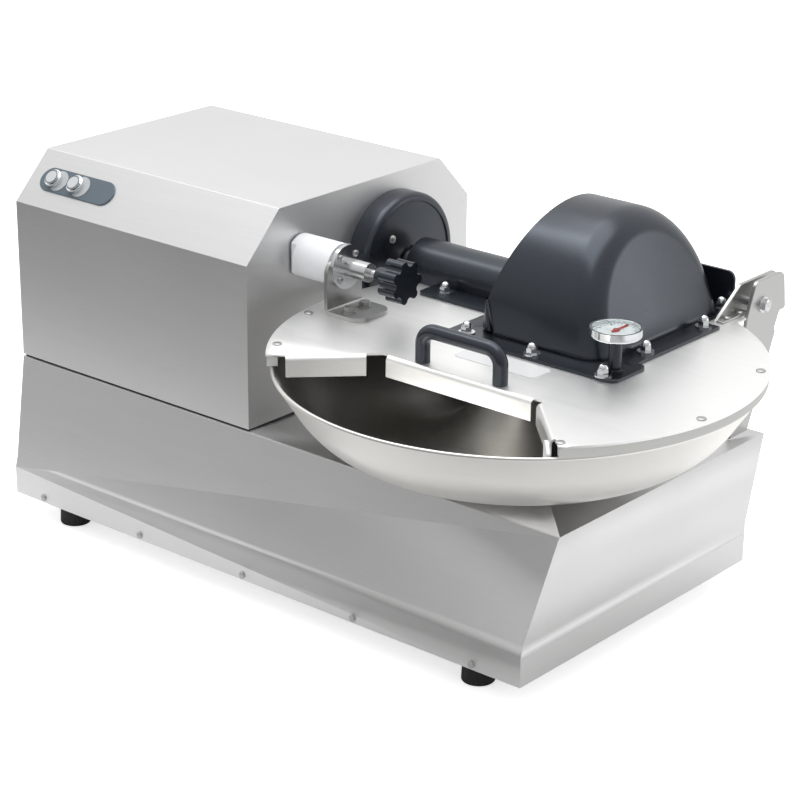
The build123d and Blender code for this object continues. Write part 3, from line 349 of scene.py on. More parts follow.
def rounded(points, radii, steps=8):
    """A flat outline with an arc at each corner that has a radius."""
    outline = []
    for i, (point, radius) in enumerate(zip(points, radii)):
        corner = Vector(point)
        if not radius:
            outline.append(corner)
            continue
        before = (Vector(points[i - 1]) - corner).normalized()
        after = (Vector(points[(i + 1) % len(points)]) - corner).normalized()
        half = math.acos(before.dot(after)) / 2
        middle = corner + (before + after).normalized() * radius / math.sin(half)
        start = corner + before * radius / math.tan(half) - middle
        end = corner + after * radius / math.tan(half) - middle
        first = math.atan2(start.y, start.x)
        sweep = math.atan2(start.x * end.y - start.y * end.x, start.dot(end))
        for k in range(steps + 1):
            a = first + sweep * k / steps
            outline.append(middle + radius * Vector((math.cos(a), math.sin(a))))
    return outline


def bridge(shape, first, second):
    """Faces between two closed rings of the same number of points."""
    for i in range(len(first)):
        j = (i + 1) % len(first)
        shape.faces.new((first[i], first[j], second[j], second[i]))


def slab(shape, outline, depth):
    """A flat outline of places, thickened by a vector in millimetres."""
    near = [shape.verts.new(place) for place in outline]
    far = [shape.verts.new(place + Vector(depth) * MM) for place in outline]
    shape.faces.new(near)
    shape.faces.new(far)
    bridge(shape, near, far)


def lathe(shape, profile, place, axis, sides=128):
    """Turn a closed outline of (radius, height) in millimetres round an axis through a place."""
    turn = Vector((0, 0, 1)).rotation_difference(Vector(axis)).to_matrix()
    rings = []
    for radius, height in profile:
        spots = [(radius * math.cos(a), radius * math.sin(a), height) for a in turns(sides)]
        rings.append([shape.verts.new(place + turn @ Vector(spot) * MM) for spot in spots])
    for first, second in zip(rings, rings[1:] + rings[:1]):
        bridge(shape, first, second)


def copy_node(shape, name):
    """Copy a CAD node's surface, with its loose triangles joined."""
    shape.from_mesh(frame["nodes"][name].data)
    bmesh.ops.remove_doubles(shape, verts=shape.verts, dist=0.002 * MM)


def split_level(shape, level, clear_above=False):
    """Cut every face that crosses a height, and clear what lies above it if asked."""
    bmesh.ops.bisect_plane(shape, geom=shape.verts[:] + shape.edges[:] + shape.faces[:],
                           plane_co=(0, 0, level), plane_no=(0, 0, 1), clear_outer=clear_above)


def cut_box(piece, low, high):
    """Cut a box between two places out of a piece."""
    mesh = bpy.data.meshes.new("cutter")
    shape = bmesh.new()
    bmesh.ops.create_cube(shape, size=1.0)
    for vertex in shape.verts:
        vertex.co = [(a + b) / 2 + (b - a) * c for a, b, c in zip(low, high, vertex.co)]
    shape.to_mesh(mesh)
    shape.free()
    cutter = add_object("cutter", mesh)
    modifier = piece.modifiers.new("cut", "BOOLEAN")
    modifier.object = cutter
    modifier.solver = "EXACT"
    bake(piece, modifier)
    bpy.data.objects.remove(cutter)


def bake(piece, modifier):
    """Replace a piece's mesh by the modifier's result and take the modifier off."""
    evaluated = piece.evaluated_get(bpy.context.evaluated_depsgraph_get())
    solid = bpy.data.meshes.new_from_object(evaluated)
    piece.modifiers.remove(modifier)
    piece.data = solid
    soften(solid)


def scatter(name, places, axis, tree, body, slot, values):
    """Set a fastener made by a geometry tree on each place, its axis along the given direction."""
    mesh = bpy.data.meshes.new(name)
    mesh.from_pydata([tuple(place) for place in places], [], [])
    carrier = add_object(name, mesh)
    modifier = carrier.modifiers.new("fasteners", "NODES")
    modifier.node_group = tree
    identifiers = {item.name: item.identifier for item in tree.interface.items_tree
                   if item.in_out == "INPUT"}
    modifier[identifiers["Turn"]] = tuple(Vector((0, 0, 1)).rotation_difference(Vector(axis)).to_euler())
    modifier[identifiers["Material"]] = MATERIALS[slot]
    for key, value in values.items():
        modifier[identifiers[key]] = value
    bake(carrier, modifier)
    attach(carrier, body)


# ---- Fasteners, as geometry trees ----
def open_tree(name, sizes):
    """A geometry tree with Turn and Material inputs and named sizes in metres."""
    tree = bpy.data.node_groups.new(name, "GeometryNodeTree")
    for way in ("INPUT", "OUTPUT"):
        tree.interface.new_socket("Geometry", in_out=way, socket_type="NodeSocketGeometry")
    tree.interface.new_socket("Turn", in_out="INPUT", socket_type="NodeSocketVector")
    tree.interface.new_socket("Material", in_out="INPUT", socket_type="NodeSocketMaterial")
    for size, default in sizes.items():
        made = tree.interface.new_socket(size, in_out="INPUT", socket_type="NodeSocketFloat")
        made.default_value = default
    return tree, node(tree, "NodeGroupInput").outputs


def close_tree(tree, given, shapes):
    """Join the shapes, instance them on the points, realize and give them their material."""
    joined = node(tree, "GeometryNodeJoinGeometry")
    for shape in shapes:
        tree.links.new(shape, joined.inputs["Geometry"])
    turn = node(tree, "FunctionNodeEulerToRotation", {0: given["Turn"]})
    spread = node(tree, "GeometryNodeInstanceOnPoints", {
        "Points": given["Geometry"], "Instance": joined.outputs["Geometry"], "Rotation": turn.outputs[0]})
    real = node(tree, "GeometryNodeRealizeInstances", {"Geometry": spread.outputs["Instances"]})
    coat = node(tree, "GeometryNodeSetMaterial", {"Geometry": real.outputs["Geometry"],
                                                  "Material": given["Material"]})
    node(tree, "NodeGroupOutput", {"Geometry": coat.outputs["Geometry"]})
    return tree


def rod(tree, radius, depth, sides, base):
    """A cylinder that starts at height base; radius, depth and base are sockets or numbers."""
    made = node(tree, "GeometryNodeMeshCylinder", {"Vertices": sides, "Radius": radius, "Depth": depth})
    height = maths(tree, "ADD", maths(tree, "MULTIPLY", depth, 0.5), base)
    lift = node(tree, "ShaderNodeCombineXYZ", {"Z": height})
    moved = node(tree, "GeometryNodeTransform", {"Geometry": made.outputs["Mesh"],
                                                 "Translation": lift.outputs[0]})
    return moved.outputs["Geometry"]


def dome(tree, radius, rise, base):
    """A flattened ball, its middle at height base."""
    made = node(tree, "GeometryNodeMeshUVSphere", {"Segments": 20, "Rings": 10, "Radius": radius})
    ratio = maths(tree, "DIVIDE", rise, radius)
    squash = node(tree, "ShaderNodeCombineXYZ", {"X": 1.0, "Y": 1.0, "Z": ratio})
    lift = node(tree, "ShaderNodeCombineXYZ", {"Z": base})
    moved = node(tree, "GeometryNodeTransform", {
        "Geometry": made.outputs["Mesh"], "Scale": squash.outputs[0], "Translation": lift.outputs[0]})
    return moved.outputs["Geometry"]


def acorn_nut_tree():
    washer_height = 1.4 * MM
    hex_height = 5.0 * MM
    tree, given = open_tree("acorn_nut", {"Nut radius": 5.6 * MM, "Washer radius": 8 * MM})
    nut = given["Nut radius"]
    washer = rod(tree, given["Washer radius"], washer_height, 28, 0.0)
    flats = rod(tree, nut, hex_height, 6, washer_height)
    crown = dome(tree, maths(tree, "MULTIPLY", nut, 0.84), 5.2 * MM, washer_height + hex_height)
    return close_tree(tree, given, [washer, flats, crown])


def pan_screw_tree():
    """A low side wall under a shallow dome, made once and shared."""
    if "pan_screw" in bpy.data.node_groups:
        return bpy.data.node_groups["pan_screw"]
    tree, given = open_tree("pan_screw", {"Radius": 4.4 * MM, "Height": 2.4 * MM})
    radius = given["Radius"]
    cheek = maths(tree, "MULTIPLY", given["Height"], 0.4)
    side = rod(tree, radius, cheek, 24, 0.0)
    head = dome(tree, radius, maths(tree, "MULTIPLY", given["Height"], 0.6), cheek)
    return close_tree(tree, given, [side, head])


def hex_bolt_tree():
    washer_height = 1.2 * MM
    tree, given = open_tree("hex_bolt", {"Head radius": 5.8 * MM, "Washer radius": 7.5 * MM})
    washer = rod(tree, given["Washer radius"], washer_height, 28, 0.0)
    head = rod(tree, given["Head radius"], 4.0 * MM, 6, washer_height)
    return close_tree(tree, given, [washer, head])


# ---- Operators ----
class CUTTER_OT_finishes(bpy.types.Operator):
    """Give every CAD node its finish"""
    bl_idname = "cutter.finishes"
    bl_label = "Finishes"

    def execute(self, context):
        MATERIALS.update(make_materials())
        slots = {part["node"]: part["material_slot"] for part in frame["record"]["subparts"]}
        for name, thing in frame["nodes"].items():
            material = MATERIALS[slots[name]]
            if not thing.material_slots:
                thing.data.materials.append(material)
            for place in thing.material_slots:
                place.material = material
        # The ring under the lid is greyer than the white nylon of the lock
        ring = frame["nodes"]["lid_ring"]
        ring.material_slots[0].material = moulded("grey_white_nylon", "#C9C9C6", roughness=0.5, depth=0.04)
        return {"FINISHED"}


class CUTTER_OT_cabinet(bpy.types.Operator):
    """Base shell with an upright back and an upright lip at the foot of each end"""
    bl_idname = "cutter.cabinet"
    bl_label = "Cabinet"

    def execute(self, context):
        height = BASE_HIGH.z - BASE_LOW.z
        lean = 15 * MM
        lip = 41 * MM
        back_lean = 8 * MM
        back_drop = 112 * MM
        end_band = 40 * MM
        back_band = 30 * MM
        middle = (BASE_LOW + BASE_HIGH) / 2

        def build(shape):
            copy_node(shape, "base_shell")
            for level in (BASE_LOW.z + lip, BASE_HIGH.z - back_drop):
                split_level(shape, level)
            for vertex in shape.verts:
                down = BASE_HIGH.z - vertex.co.z
                inwards = lean * (min(down / (height - lip), 1.0) - down / height)
                if abs(vertex.co.x - middle.x) > (BASE_HIGH.x - middle.x) - end_band:
                    vertex.co.x -= inwards if vertex.co.x > middle.x else -inwards
                if vertex.co.y > BASE_HIGH.y - back_band:
                    vertex.co.y += back_lean * min(down / back_drop, 1.0)

        shell = finish_piece("cabinet_shell", build, "base", "cabinet_steel")
        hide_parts("base_shell")
        return {"FINISHED"}


class CUTTER_OT_bowl(bpy.types.Operator):
    """Spun bowl: a round trough about the spindle, with a rolled rim"""
    bl_idname = "cutter.bowl"
    bl_label = "Bowl"

    def execute(self, context):
        trough = context.scene.cutter_forms.trough
        out = SPINDLE_Y - BOWL_Y
        wall = 1.5
        bead = 1.8
        hub = RIM_Z - 7
        hub_hole = 1
        steps = 48
        reach = math.hypot(RIM_RADIUS - out, SPINDLE_Z - RIM_Z)
        dip = math.atan2(SPINDLE_Z - RIM_Z, RIM_RADIUS - out) + math.acos(trough / reach)
        rise = math.asin((SPINDLE_Z - hub) / trough)
        inner_rise = math.asin((SPINDLE_Z - hub - wall) / (trough - wall))
        outer = arc((out, SPINDLE_Z), trough, math.pi + rise, 2 * math.pi - dip, steps)
        rim = arc((RIM_RADIUS - bead, RIM_Z - bead), bead, -1.0, 2.4, 8)
        inner = arc((out, SPINDLE_Z), trough - wall, 2 * math.pi - dip, math.pi + inner_rise, steps)
        profile = [(hub_hole, hub)] + outer + rim + inner + [(hub_hole, hub + wall)]

        def build(shape):
            lathe(shape, profile, at(BOWL_X, BOWL_Y, 0), (0, 0, 1), sides=192)

        bowl = finish_piece("spun_bowl", build, "bowl", "bowl_steel")
        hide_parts("bowl")
        return {"FINISHED"}


class CUTTER_OT_hood(bpy.types.Operator):
    """Moulded hood: round crown, walls and ends that lean in, soft end edges, flared foot on a flange"""
    bl_idname = "cutter.hood"
    bl_label = "Hood"

    def execute(self, context):
        forms = context.scene.cutter_forms
        slope = math.tan(math.radians(forms.hood_lean))
        drop = forms.hood_height - forms.hood_crown
        reach = math.hypot(forms.hood_half, drop)
        touch = math.acos(forms.hood_crown / reach) - math.atan2(drop, forms.hood_half)
        foot = 7.0
        flange_rise = 3.0
        flare = 3.4
        wall = 3.0
        soft_left = 19
        soft_right = 23
        wall_in = foot * math.tan(touch)
        crown = arc((0, drop), forms.hood_crown, touch, math.pi - touch, 64)
        section = [(forms.hood_half - wall_in, foot)] + crown + [(wall_in - forms.hood_half, foot)]
        middle_y = SPINDLE_Y - 1

        def build(shape):
            left = [shape.verts.new(at(BOWL_X - forms.hood_left + slope * z, middle_y + y, LID_Z + z))
                    for y, z in section]
            right = [shape.verts.new(at(BOWL_X + forms.hood_right - slope * z, middle_y + y, LID_Z + z))
                     for y, z in section]
            for i in range(len(section) - 1):
                shape.faces.new((left[i], left[i + 1], right[i + 1], right[i]))
            shape.faces.new(left)
            shape.faces.new(right)
            for ring, size in ((left, soft_left), (right, soft_right)):
                edges = [edge for a, b in zip(ring, ring[1:]) for edge in a.link_edges
                         if edge.other_vert(a) is b]
                bmesh.ops.bevel(shape, geom=edges, offset=size * MM, offset_type="OFFSET", segments=10,
                                profile=0.5, affect="EDGES")
            bmesh.ops.recalc_face_normals(shape, faces=shape.faces)
            if max(shape.faces, key=lambda face: face.calc_center_median().z).normal.z < 0:
                bmesh.ops.reverse_faces(shape, faces=shape.faces[:])
            shape.normal_update()
            # The open edge goes down and outwards to the flange
            border = [edge for edge in shape.edges if edge.is_boundary]
            made = bmesh.ops.extrude_edge_only(shape, edges=border)["geom"]
            fresh = {item for item in made if isinstance(item, bmesh.types.BMVert)}
            for vertex in fresh:
                upper = next(edge.other_vert(vertex) for edge in vertex.link_edges
                             if edge.other_vert(vertex) not in fresh)
                outwards = Vector((upper.normal.x, upper.normal.y, 0)).normalized()
                vertex.co += outwards * flare * MM - Vector((0, 0, foot - flange_rise)) * MM

        hood = finish_piece("moulded_hood", build, "lid", "black_plastic")
        thick = hood.modifiers.new("wall", "SOLIDIFY")
        thick.thickness = wall * MM
        thick.offset = -1.0

        def build_flange(shape):
            copy_node(shape, "hood")
            level = FLANGE_TOP - 0.1 * MM
            split_level(shape, level, clear_above=True)
            bmesh.ops.triangle_fill(shape, use_beauty=True, edges=[e for e in shape.edges if e.is_boundary])
            for vertex in shape.verts:
                if abs(vertex.co.z - level) < 0.01 * MM:
                    vertex.co.z = FLANGE_TOP

        flange = finish_piece("hood_flange", build_flange, "lid", "black_plastic")
        notch = (BOWL_X + forms.arm_at - 3, BOWL_Y + 177)
        spread = (60, 83)
        cut_box(flange, at(*notch, LID_Z - 5), at(notch[0] + spread[0], notch[1] + spread[1], FLANGE_Z + 5))
        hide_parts("hood")
        return {"FINISHED"}


class CUTTER_OT_back_guard(bpy.types.Operator):
    """Flat guard that stands on the lid behind the hood's flange"""
    bl_idname = "cutter.back_guard"
    bl_label = "Back guard"

    def execute(self, context):
        across = context.scene.cutter_forms.arm_at - 5
        height = 38
        behind = 111.3
        outline = rounded([(-across, 0), (across, 0), (across, height), (-across, height)], (0, 0, 8, 8))

        def build(shape):
            slab(shape, [at(BOWL_X + p.x, SPINDLE_Y + behind, LID_Z + p.y) for p in outline], (0, 3, 0))

        guard = finish_piece("back_guard", build, "lid", "black_plastic")
        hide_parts("rear_guard")
        return {"FINISHED"}


class CUTTER_OT_cover(bpy.types.Operator):
    """Tunnel over the spindle between the bearing guard and the hood, on its own flange"""
    bl_idname = "cutter.cover"
    bl_label = "Spindle cover"

    def execute(self, context):
        forms = context.scene.cutter_forms
        radius = forms.cover_radius
        slope = math.tan(math.radians(forms.hood_lean))
        foot = LID_Z - SPINDLE_Z
        wall = 3
        into_hood = 1
        start = BOWL_X - 214
        flange_left = BOWL_X - 175
        flange_right = BOWL_X - 83.3
        flange_half = 54.5
        share = (radius - wall) / radius
        outer = [(radius, foot)] + arc((0, 0), radius, 0, math.pi, 32) + [(-radius, foot)]
        inner = [(y * share, z if z == foot else z * share) for y, z in reversed(outer)]

        def build(shape):
            rings = []
            for side in (0, 1):
                places = []
                for y, z in outer + inner:
                    end = BOWL_X - forms.hood_left + slope * (SPINDLE_Z + z - LID_Z) + into_hood
                    places.append(at(end if side else start, SPINDLE_Y + y, SPINDLE_Z + z))
                rings.append([shape.verts.new(place) for place in places])
            bridge(shape, *rings)
            for i in range(len(outer) - 1):
                for ring in rings:
                    shape.faces.new((ring[i], ring[i + 1], ring[-2 - i], ring[-1 - i]))
            outline = rounded([(flange_left, -flange_half), (flange_right, -flange_half),
                               (flange_right, flange_half), (flange_left, flange_half)], (6, 6, 6, 6))
            slab(shape, [at(p.x, SPINDLE_Y + p.y, LID_Z) for p in outline], (0, 0, 3))

        cover = finish_piece("spindle_tunnel", build, "lid", "black_plastic")
        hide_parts("shaft_cover")
        return {"FINISHED"}


class CUTTER_OT_guard(bpy.types.Operator):
    """Bearing guard: a round moulding with a rolled rim and a sunk face"""
    bl_idname = "cutter.guard"
    bl_label = "Bearing guard"

    def execute(self, context):
        radius = context.scene.cutter_forms.guard_radius
        depth = 24.5
        bend = 6.0
        rim = 9.0
        face = depth - 1.5
        behind = depth - 4.5
        back = 0.2
        wall = 3
        bore = 15
        profile = [(radius, back)] + arc((radius - bend, depth - bend), bend, 0, math.pi / 2, 8)
        profile += [(radius - rim + 1, depth), (radius - rim, face), (bore, face), (bore, behind)]
        profile += [(radius - 2 * wall, behind), (radius - wall, depth - 8), (radius - wall, back)]

        def build(shape):
            lathe(shape, profile, at(BOWL_X - 255, SPINDLE_Y, SPINDLE_Z), (1, 0, 0))

        guard = finish_piece("guard_moulding", build, "base", "black_plastic")
        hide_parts("bearing_guard")
        return {"FINISHED"}


class CUTTER_OT_hinges(bpy.types.Operator):
    """Hinge arms on the lid, posts on the base and their pins"""
    bl_idname = "cutter.hinges"
    bl_label = "Hinges"

    def execute(self, context):
        forms = context.scene.cutter_forms
        low = LID_Z - HINGE_Z
        plate = 4.0
        # Outlines to the back and up, from the pin
        arm = rounded([(-59, low), (-18, 21.5), (46, 21.5), (46, -4), (0, low - 6), (-14, low)],
                      (0, 8, 8, 4, 0, 0))
        post = rounded([(-44, -HINGE_Z), (-26, low), (-13, 25.5), (36, 25.5), (42, -14), (31.5, -14),
                        (24, -30), (26, -34.5), (-14, -HINGE_Z)], (0, 4, 9, 9, 3, 2, 2, 2, 0))
        for word, side in (("right", 1), ("left", -1)):
            arm_x = BOWL_X + side * forms.arm_at
            post_x = BOWL_X + side * forms.post_at

            def build_arm(shape, x=arm_x, side=side):
                slab(shape, [at(x, HINGE_Y + p.x, HINGE_Z + p.y) for p in arm], (side * plate, 0, 0))
                foot = ((0, -59), (8, -59), (8, -14), (0, -14))
                slab(shape, [at(x + side * (plate + a), HINGE_Y + b, LID_Z) for a, b in foot], (0, 0, 2))

            def build_post(shape, x=post_x, side=side):
                slab(shape, [at(x, HINGE_Y + p.x, HINGE_Z + p.y) for p in post], (side * plate, 0, 0))
                foot = ((-18, -44), (0, -44), (0, -14), (-18, -14))
                slab(shape, [at(x + side * a, HINGE_Y + b, 0) for a, b in foot], (0, 0, 3))

            def build_pin(shape, x=post_x, side=side):
                inner = -(forms.post_at - forms.arm_at) - 4.3
                core = 0.5
                shank = [(core, inner), (8.5, inner), (8.5, inner + 4), (5, inner + 4), (5, 4), (8, 4),
                         (8, 5.5), (core, 5.5)]
                head = [(core, 5.5), (6.4, 5.5), (6.4, 10), (5.4, 10.5), (core, 10.5)]
                for profile, sides in ((shank, 48), (head, 6)):
                    lathe(shape, profile, at(x, HINGE_Y, HINGE_Z), (side, 0, 0), sides=sides)

            made = ((build_arm, "arm", "lid", "plate_steel"), (build_post, "post", "base", "plate_steel"),
                    (build_pin, "pin", "base", "machined_steel"))
            for build, kind, body, slot in made:
                piece = finish_piece("cut_" + kind + "_" + word, build, body, slot)
                if kind != "pin":
                    edge = piece.modifiers.new("edges", "BEVEL")
                    edge.width = 0.6 * MM
                    edge.segments = 2
                    edge.angle_limit = math.radians(50)
                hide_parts("hinge_" + kind + "_" + word)
        return {"FINISHED"}


class CUTTER_OT_lid_sheet(bpy.types.Operator):
    """Lid sheet, cut back beside the hinge posts"""
    bl_idname = "cutter.lid_sheet"
    bl_label = "Lid sheet"

    def execute(self, context):
        lid = finish_piece("lid_sheet", lambda shape: copy_node(shape, "lid_plate"), "lid", "lid_steel")
        notch = context.scene.cutter_forms.post_at - 2
        width = 30
        front = BOWL_Y + 221
        back = BOWL_Y + 260
        for near in (notch, -notch - width):
            cut_box(lid, at(BOWL_X + near, front, LID_Z - 8), at(BOWL_X + near + width, back, LID_Z + 8))
        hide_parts("lid_plate")
        return {"FINISHED"}


class CUTTER_OT_handle(bpy.types.Operator):
    """Lid handle: one round bar with bent corners"""
    bl_idname = "cutter.handle"
    bl_label = "Handle"

    def execute(self, context):
        radius = context.scene.cutter_forms.handle_radius * MM
        half = 89.0 / 2
        rise = 31.0
        bend = 14.0
        sides = 32
        route = rounded([(-half, 0), (-half, rise), (half, rise), (half, 0)], (0, bend, bend, 0), steps=12)
        low, high = corners(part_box("handle"))
        middle = Vector(((low.x + high.x) / 2, (low.y + high.y) / 2, LID_TOP))

        def build(shape):
            rings = []
            for i, spot in enumerate(route):
                ahead = (route[min(i + 1, len(route) - 1)] - route[max(i - 1, 0)]).normalized()
                sideways = Vector((-ahead.y, 0, ahead.x))
                centre = middle + Vector((spot.x, 0, spot.y)) * MM
                outs = [sideways * math.cos(a) + Vector((0, 1, 0)) * math.sin(a) for a in turns(sides)]
                rings.append([shape.verts.new(centre + out * radius) for out in outs])
            for first, second in zip(rings, rings[1:]):
                bridge(shape, first, second)
            shape.faces.new(rings[0])
            shape.faces.new(rings[-1])

        handle = finish_piece("handle_bar", build, "lid", "black_plastic")
        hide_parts("handle")
        return {"FINISHED"}


class CUTTER_OT_lip_screws(bpy.types.Operator):
    """Pan screws along the cabinet's front lip"""
    bl_idname = "cutter.lip_screws"
    bl_label = "Lip screws"

    def execute(self, context):
        sizes = context.scene.cutter_fasteners
        down = 135.7
        along = (57.5, 200.5, 343.5, 486.5, 629.5)
        places = [Vector((CORNER.x + x * MM, BASE_LOW.y, CORNER.z - down * MM)) for x in along]
        scatter("lip_screws", places, (0, -1, 0), pan_screw_tree(), "base", "plate_steel",
                {"Radius": sizes.screw_radius * 0.8, "Height": sizes.screw_height})
        return {"FINISHED"}


class CUTTER_OT_lid_screws(bpy.types.Operator):
    """Pan screws that hold the nylon ring under the lid"""
    bl_idname = "cutter.lid_screws"
    bl_label = "Lid screws"

    def execute(self, context):
        sizes = context.scene.cutter_fasteners
        radius = 221 * MM
        degrees = (192, 216, -43, -7, 29, 65, 90, 115)
        places = [Vector((BOWL_AXIS.x + radius * math.cos(math.radians(a)),
                          BOWL_AXIS.y + radius * math.sin(math.radians(a)), LID_TOP)) for a in degrees]
        scatter("lid_screws", places, (0, 0, 1), pan_screw_tree(), "lid", "plate_steel",
                {"Radius": sizes.screw_radius, "Height": sizes.screw_height * 0.7})
        return {"FINISHED"}


class CUTTER_OT_cap_nuts(bpy.types.Operator):
    """Acorn nuts and washers on the hood and on the spindle cover"""
    bl_idname = "cutter.cap_nuts"
    bl_label = "Cap nuts"

    def execute(self, context):
        sizes = context.scene.cutter_fasteners
        hood = [(517, 94), (598, 88), (679, 86), (671.5, 162.5), (672, 256), (654, 314), (508, 313)]
        cover = [(428, 171), (487, 171), (428, 251), (487, 251)]
        places = [at(x, y, FLANGE_Z) for x, y in hood + cover]
        scatter("cap_nuts", places, (0, 0, 1), acorn_nut_tree(), "lid", "button_chrome",
                {"Nut radius": sizes.nut_radius, "Washer radius": sizes.washer_radius})
        return {"FINISHED"}


class CUTTER_OT_bracket_bolts(bpy.types.Operator):
    """Bolts of the lock bracket, its flange and the hinge arms"""
    bl_idname = "cutter.bracket_bolts"
    bl_label = "Bracket bolts"

    def execute(self, context):
        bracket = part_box("lock_bracket")[0]
        foot_top = LID_TOP + 4 * MM
        bolts = [Vector((bracket[0] + 20 * MM, bracket[1] + y * MM, foot_top)) for y in (14, 36)]
        scatter("bracket_bolts", bolts, (0, 0, 1), hex_bolt_tree(), "lid", "plate_steel",
                {"Head radius": 5.8 * MM, "Washer radius": 7.5 * MM})
        low, high = corners(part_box("lock_flange"))
        middle = (low + high) / 2
        face = bracket[0] + 8 * MM
        ring = 15.5 * MM
        places = [Vector((face, middle.y + ring * math.cos(a), middle.z + ring * math.sin(a)))
                  for a in turns(4, math.pi / 4)]
        scatter("flange_screws", places, (1, 0, 0), pan_screw_tree(), "lid", "plate_steel",
                {"Radius": 3.2 * MM, "Height": 2.0 * MM})
        across = context.scene.cutter_forms.arm_at + 8.2
        screws = [at(BOWL_X + side * across, HINGE_Y + y, LID_Z + 2) for side in (1, -1) for y in (-47, -25)]
        scatter("arm_screws", screws, (0, 0, 1), pan_screw_tree(), "lid", "plate_steel",
                {"Radius": 3.4 * MM, "Height": 2.2 * MM})
        return {"FINISHED"}


class CUTTER_OT_guard_screws(bpy.types.Operator):
    """Screws on the face of the bearing guard"""
    bl_idname = "cutter.guard_screws"
    bl_label = "Guard screws"

    def execute(self, context):
        ring = 37.8 * MM
        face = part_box("bearing_guard")[1][0] - 1.5 * MM
        places = [Vector((face, SPINDLE.y + ring * math.cos(a), SPINDLE.z + ring * math.sin(a)))
                  for a in turns(3, math.radians(133.5))]
        scatter("guard_screws", places, (1, 0, 0), pan_screw_tree(), "base", "plate_steel",
                {"Radius": 4.2 * MM, "Height": 2.2 * MM})
        return {"FINISHED"}


class CUTTER_OT_button_discs(bpy.types.Operator):
    """Bare round plates behind the two buttons, and turned rings on the caps, their chrome painted darker as
    painted shade
    """
    bl_idname = "cutter.button_discs"
    bl_label = "Button discs"

    def execute(self, context):
        # Out of the panel, and up along it
        normal = Vector((0, -47, 46)).normalized()
        slope = Vector((0, 46, 47)).normalized()
        panel = (PLATE_LOW + PLATE_HIGH) / 2
        hole = 8.4
        edge = 11.6
        shift = 6.0
        low_face = 0.05
        high_face = 0.6
        # The rings' chrome is painted darker than the caps' chrome: painted shade on the rings
        dark = polished("shaded_chrome_ring", "#8E9296", roughness=0.12)
        pale = moulded("pale_polyester_label", "#B9BDC0", roughness=0.4, depth=0.02, variation=0.01)
        for name in ("start", "stop"):
            low, high = corners(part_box(name + "_bezel"))
            middle = (low + high) / 2
            middle += normal * ((panel - middle).dot(normal) + 0.75 * MM)
            middle.x = (low.x + high.x) / 2

            def build(shape, middle=middle):
                rings = []
                for radius, rise, move in ((hole, low_face, 0), (hole, high_face, 0),
                                           (edge, high_face, shift), (edge, low_face, shift)):
                    centre = middle + (Vector((move, 0, 0)) + normal * rise) * MM
                    spots = [Vector((1, 0, 0)) * math.cos(a) + slope * math.sin(a) for a in turns(48)]
                    rings.append([shape.verts.new(centre + spot * radius * MM) for spot in spots])
                for first, second in zip(rings, rings[1:] + rings[:1]):
                    bridge(shape, first, second)

            finish_piece(name + "_disc", build, "base", "white_nylon", material=pale)
            cap_low, cap_high = corners(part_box(name + "_button"))
            top = (cap_low + cap_high) / 2
            # The cap's face lies half its extent along the normal from its middle
            radius = (cap_high.x - cap_low.x) / 2
            reach = ((cap_high.z - cap_low.z) - 2 * radius * slope.z) / normal.z / 2

            def build_rings(shape, top=top, reach=reach, radius=radius):
                for inner, outer, rise in ((0.45, 0.62, 0.35), (0.82, 0.98, 0.5)):
                    near = inner * radius / MM
                    far = outer * radius / MM
                    profile = [(near, 0), (near, rise), (far, rise), (far, 0)]
                    lathe(shape, profile, top + normal * (reach + 0.02 * MM), normal, sides=48)

            finish_piece(name + "_rings", build_rings, name, "button_chrome", material=dark)
        return {"FINISHED"}


class CUTTER_OT_lid_label(bpy.types.Operator):
    """Plain pale film on the lid behind the handle, with nothing printed on it"""
    bl_idname = "cutter.lid_label"
    bl_label = "Bare label"

    def execute(self, context):
        material = moulded("plain_polyester_film", "#E2E3E4", roughness=0.3, depth=0.02, variation=0.01)
        middle_x, middle_y = 587, 59
        length, width, thickness, gap = 92, 30, 0.3, 0.2

        def build(shape):
            bmesh.ops.create_cube(shape, size=1.0)
            for vertex in shape.verts:
                x, y, z = vertex.co
                vertex.co = at(middle_x + length * x, middle_y + width * y, LID_Z + gap + thickness * z)
            sides = [edge for edge in shape.edges
                     if abs(edge.verts[0].co.z - edge.verts[1].co.z) > 0.1 * MM]
            bmesh.ops.bevel(shape, geom=sides, offset=3 * MM, segments=5, affect="EDGES")

        finish_piece("lid_label", build, "lid", "white_nylon", material=material)
        return {"FINISHED"}


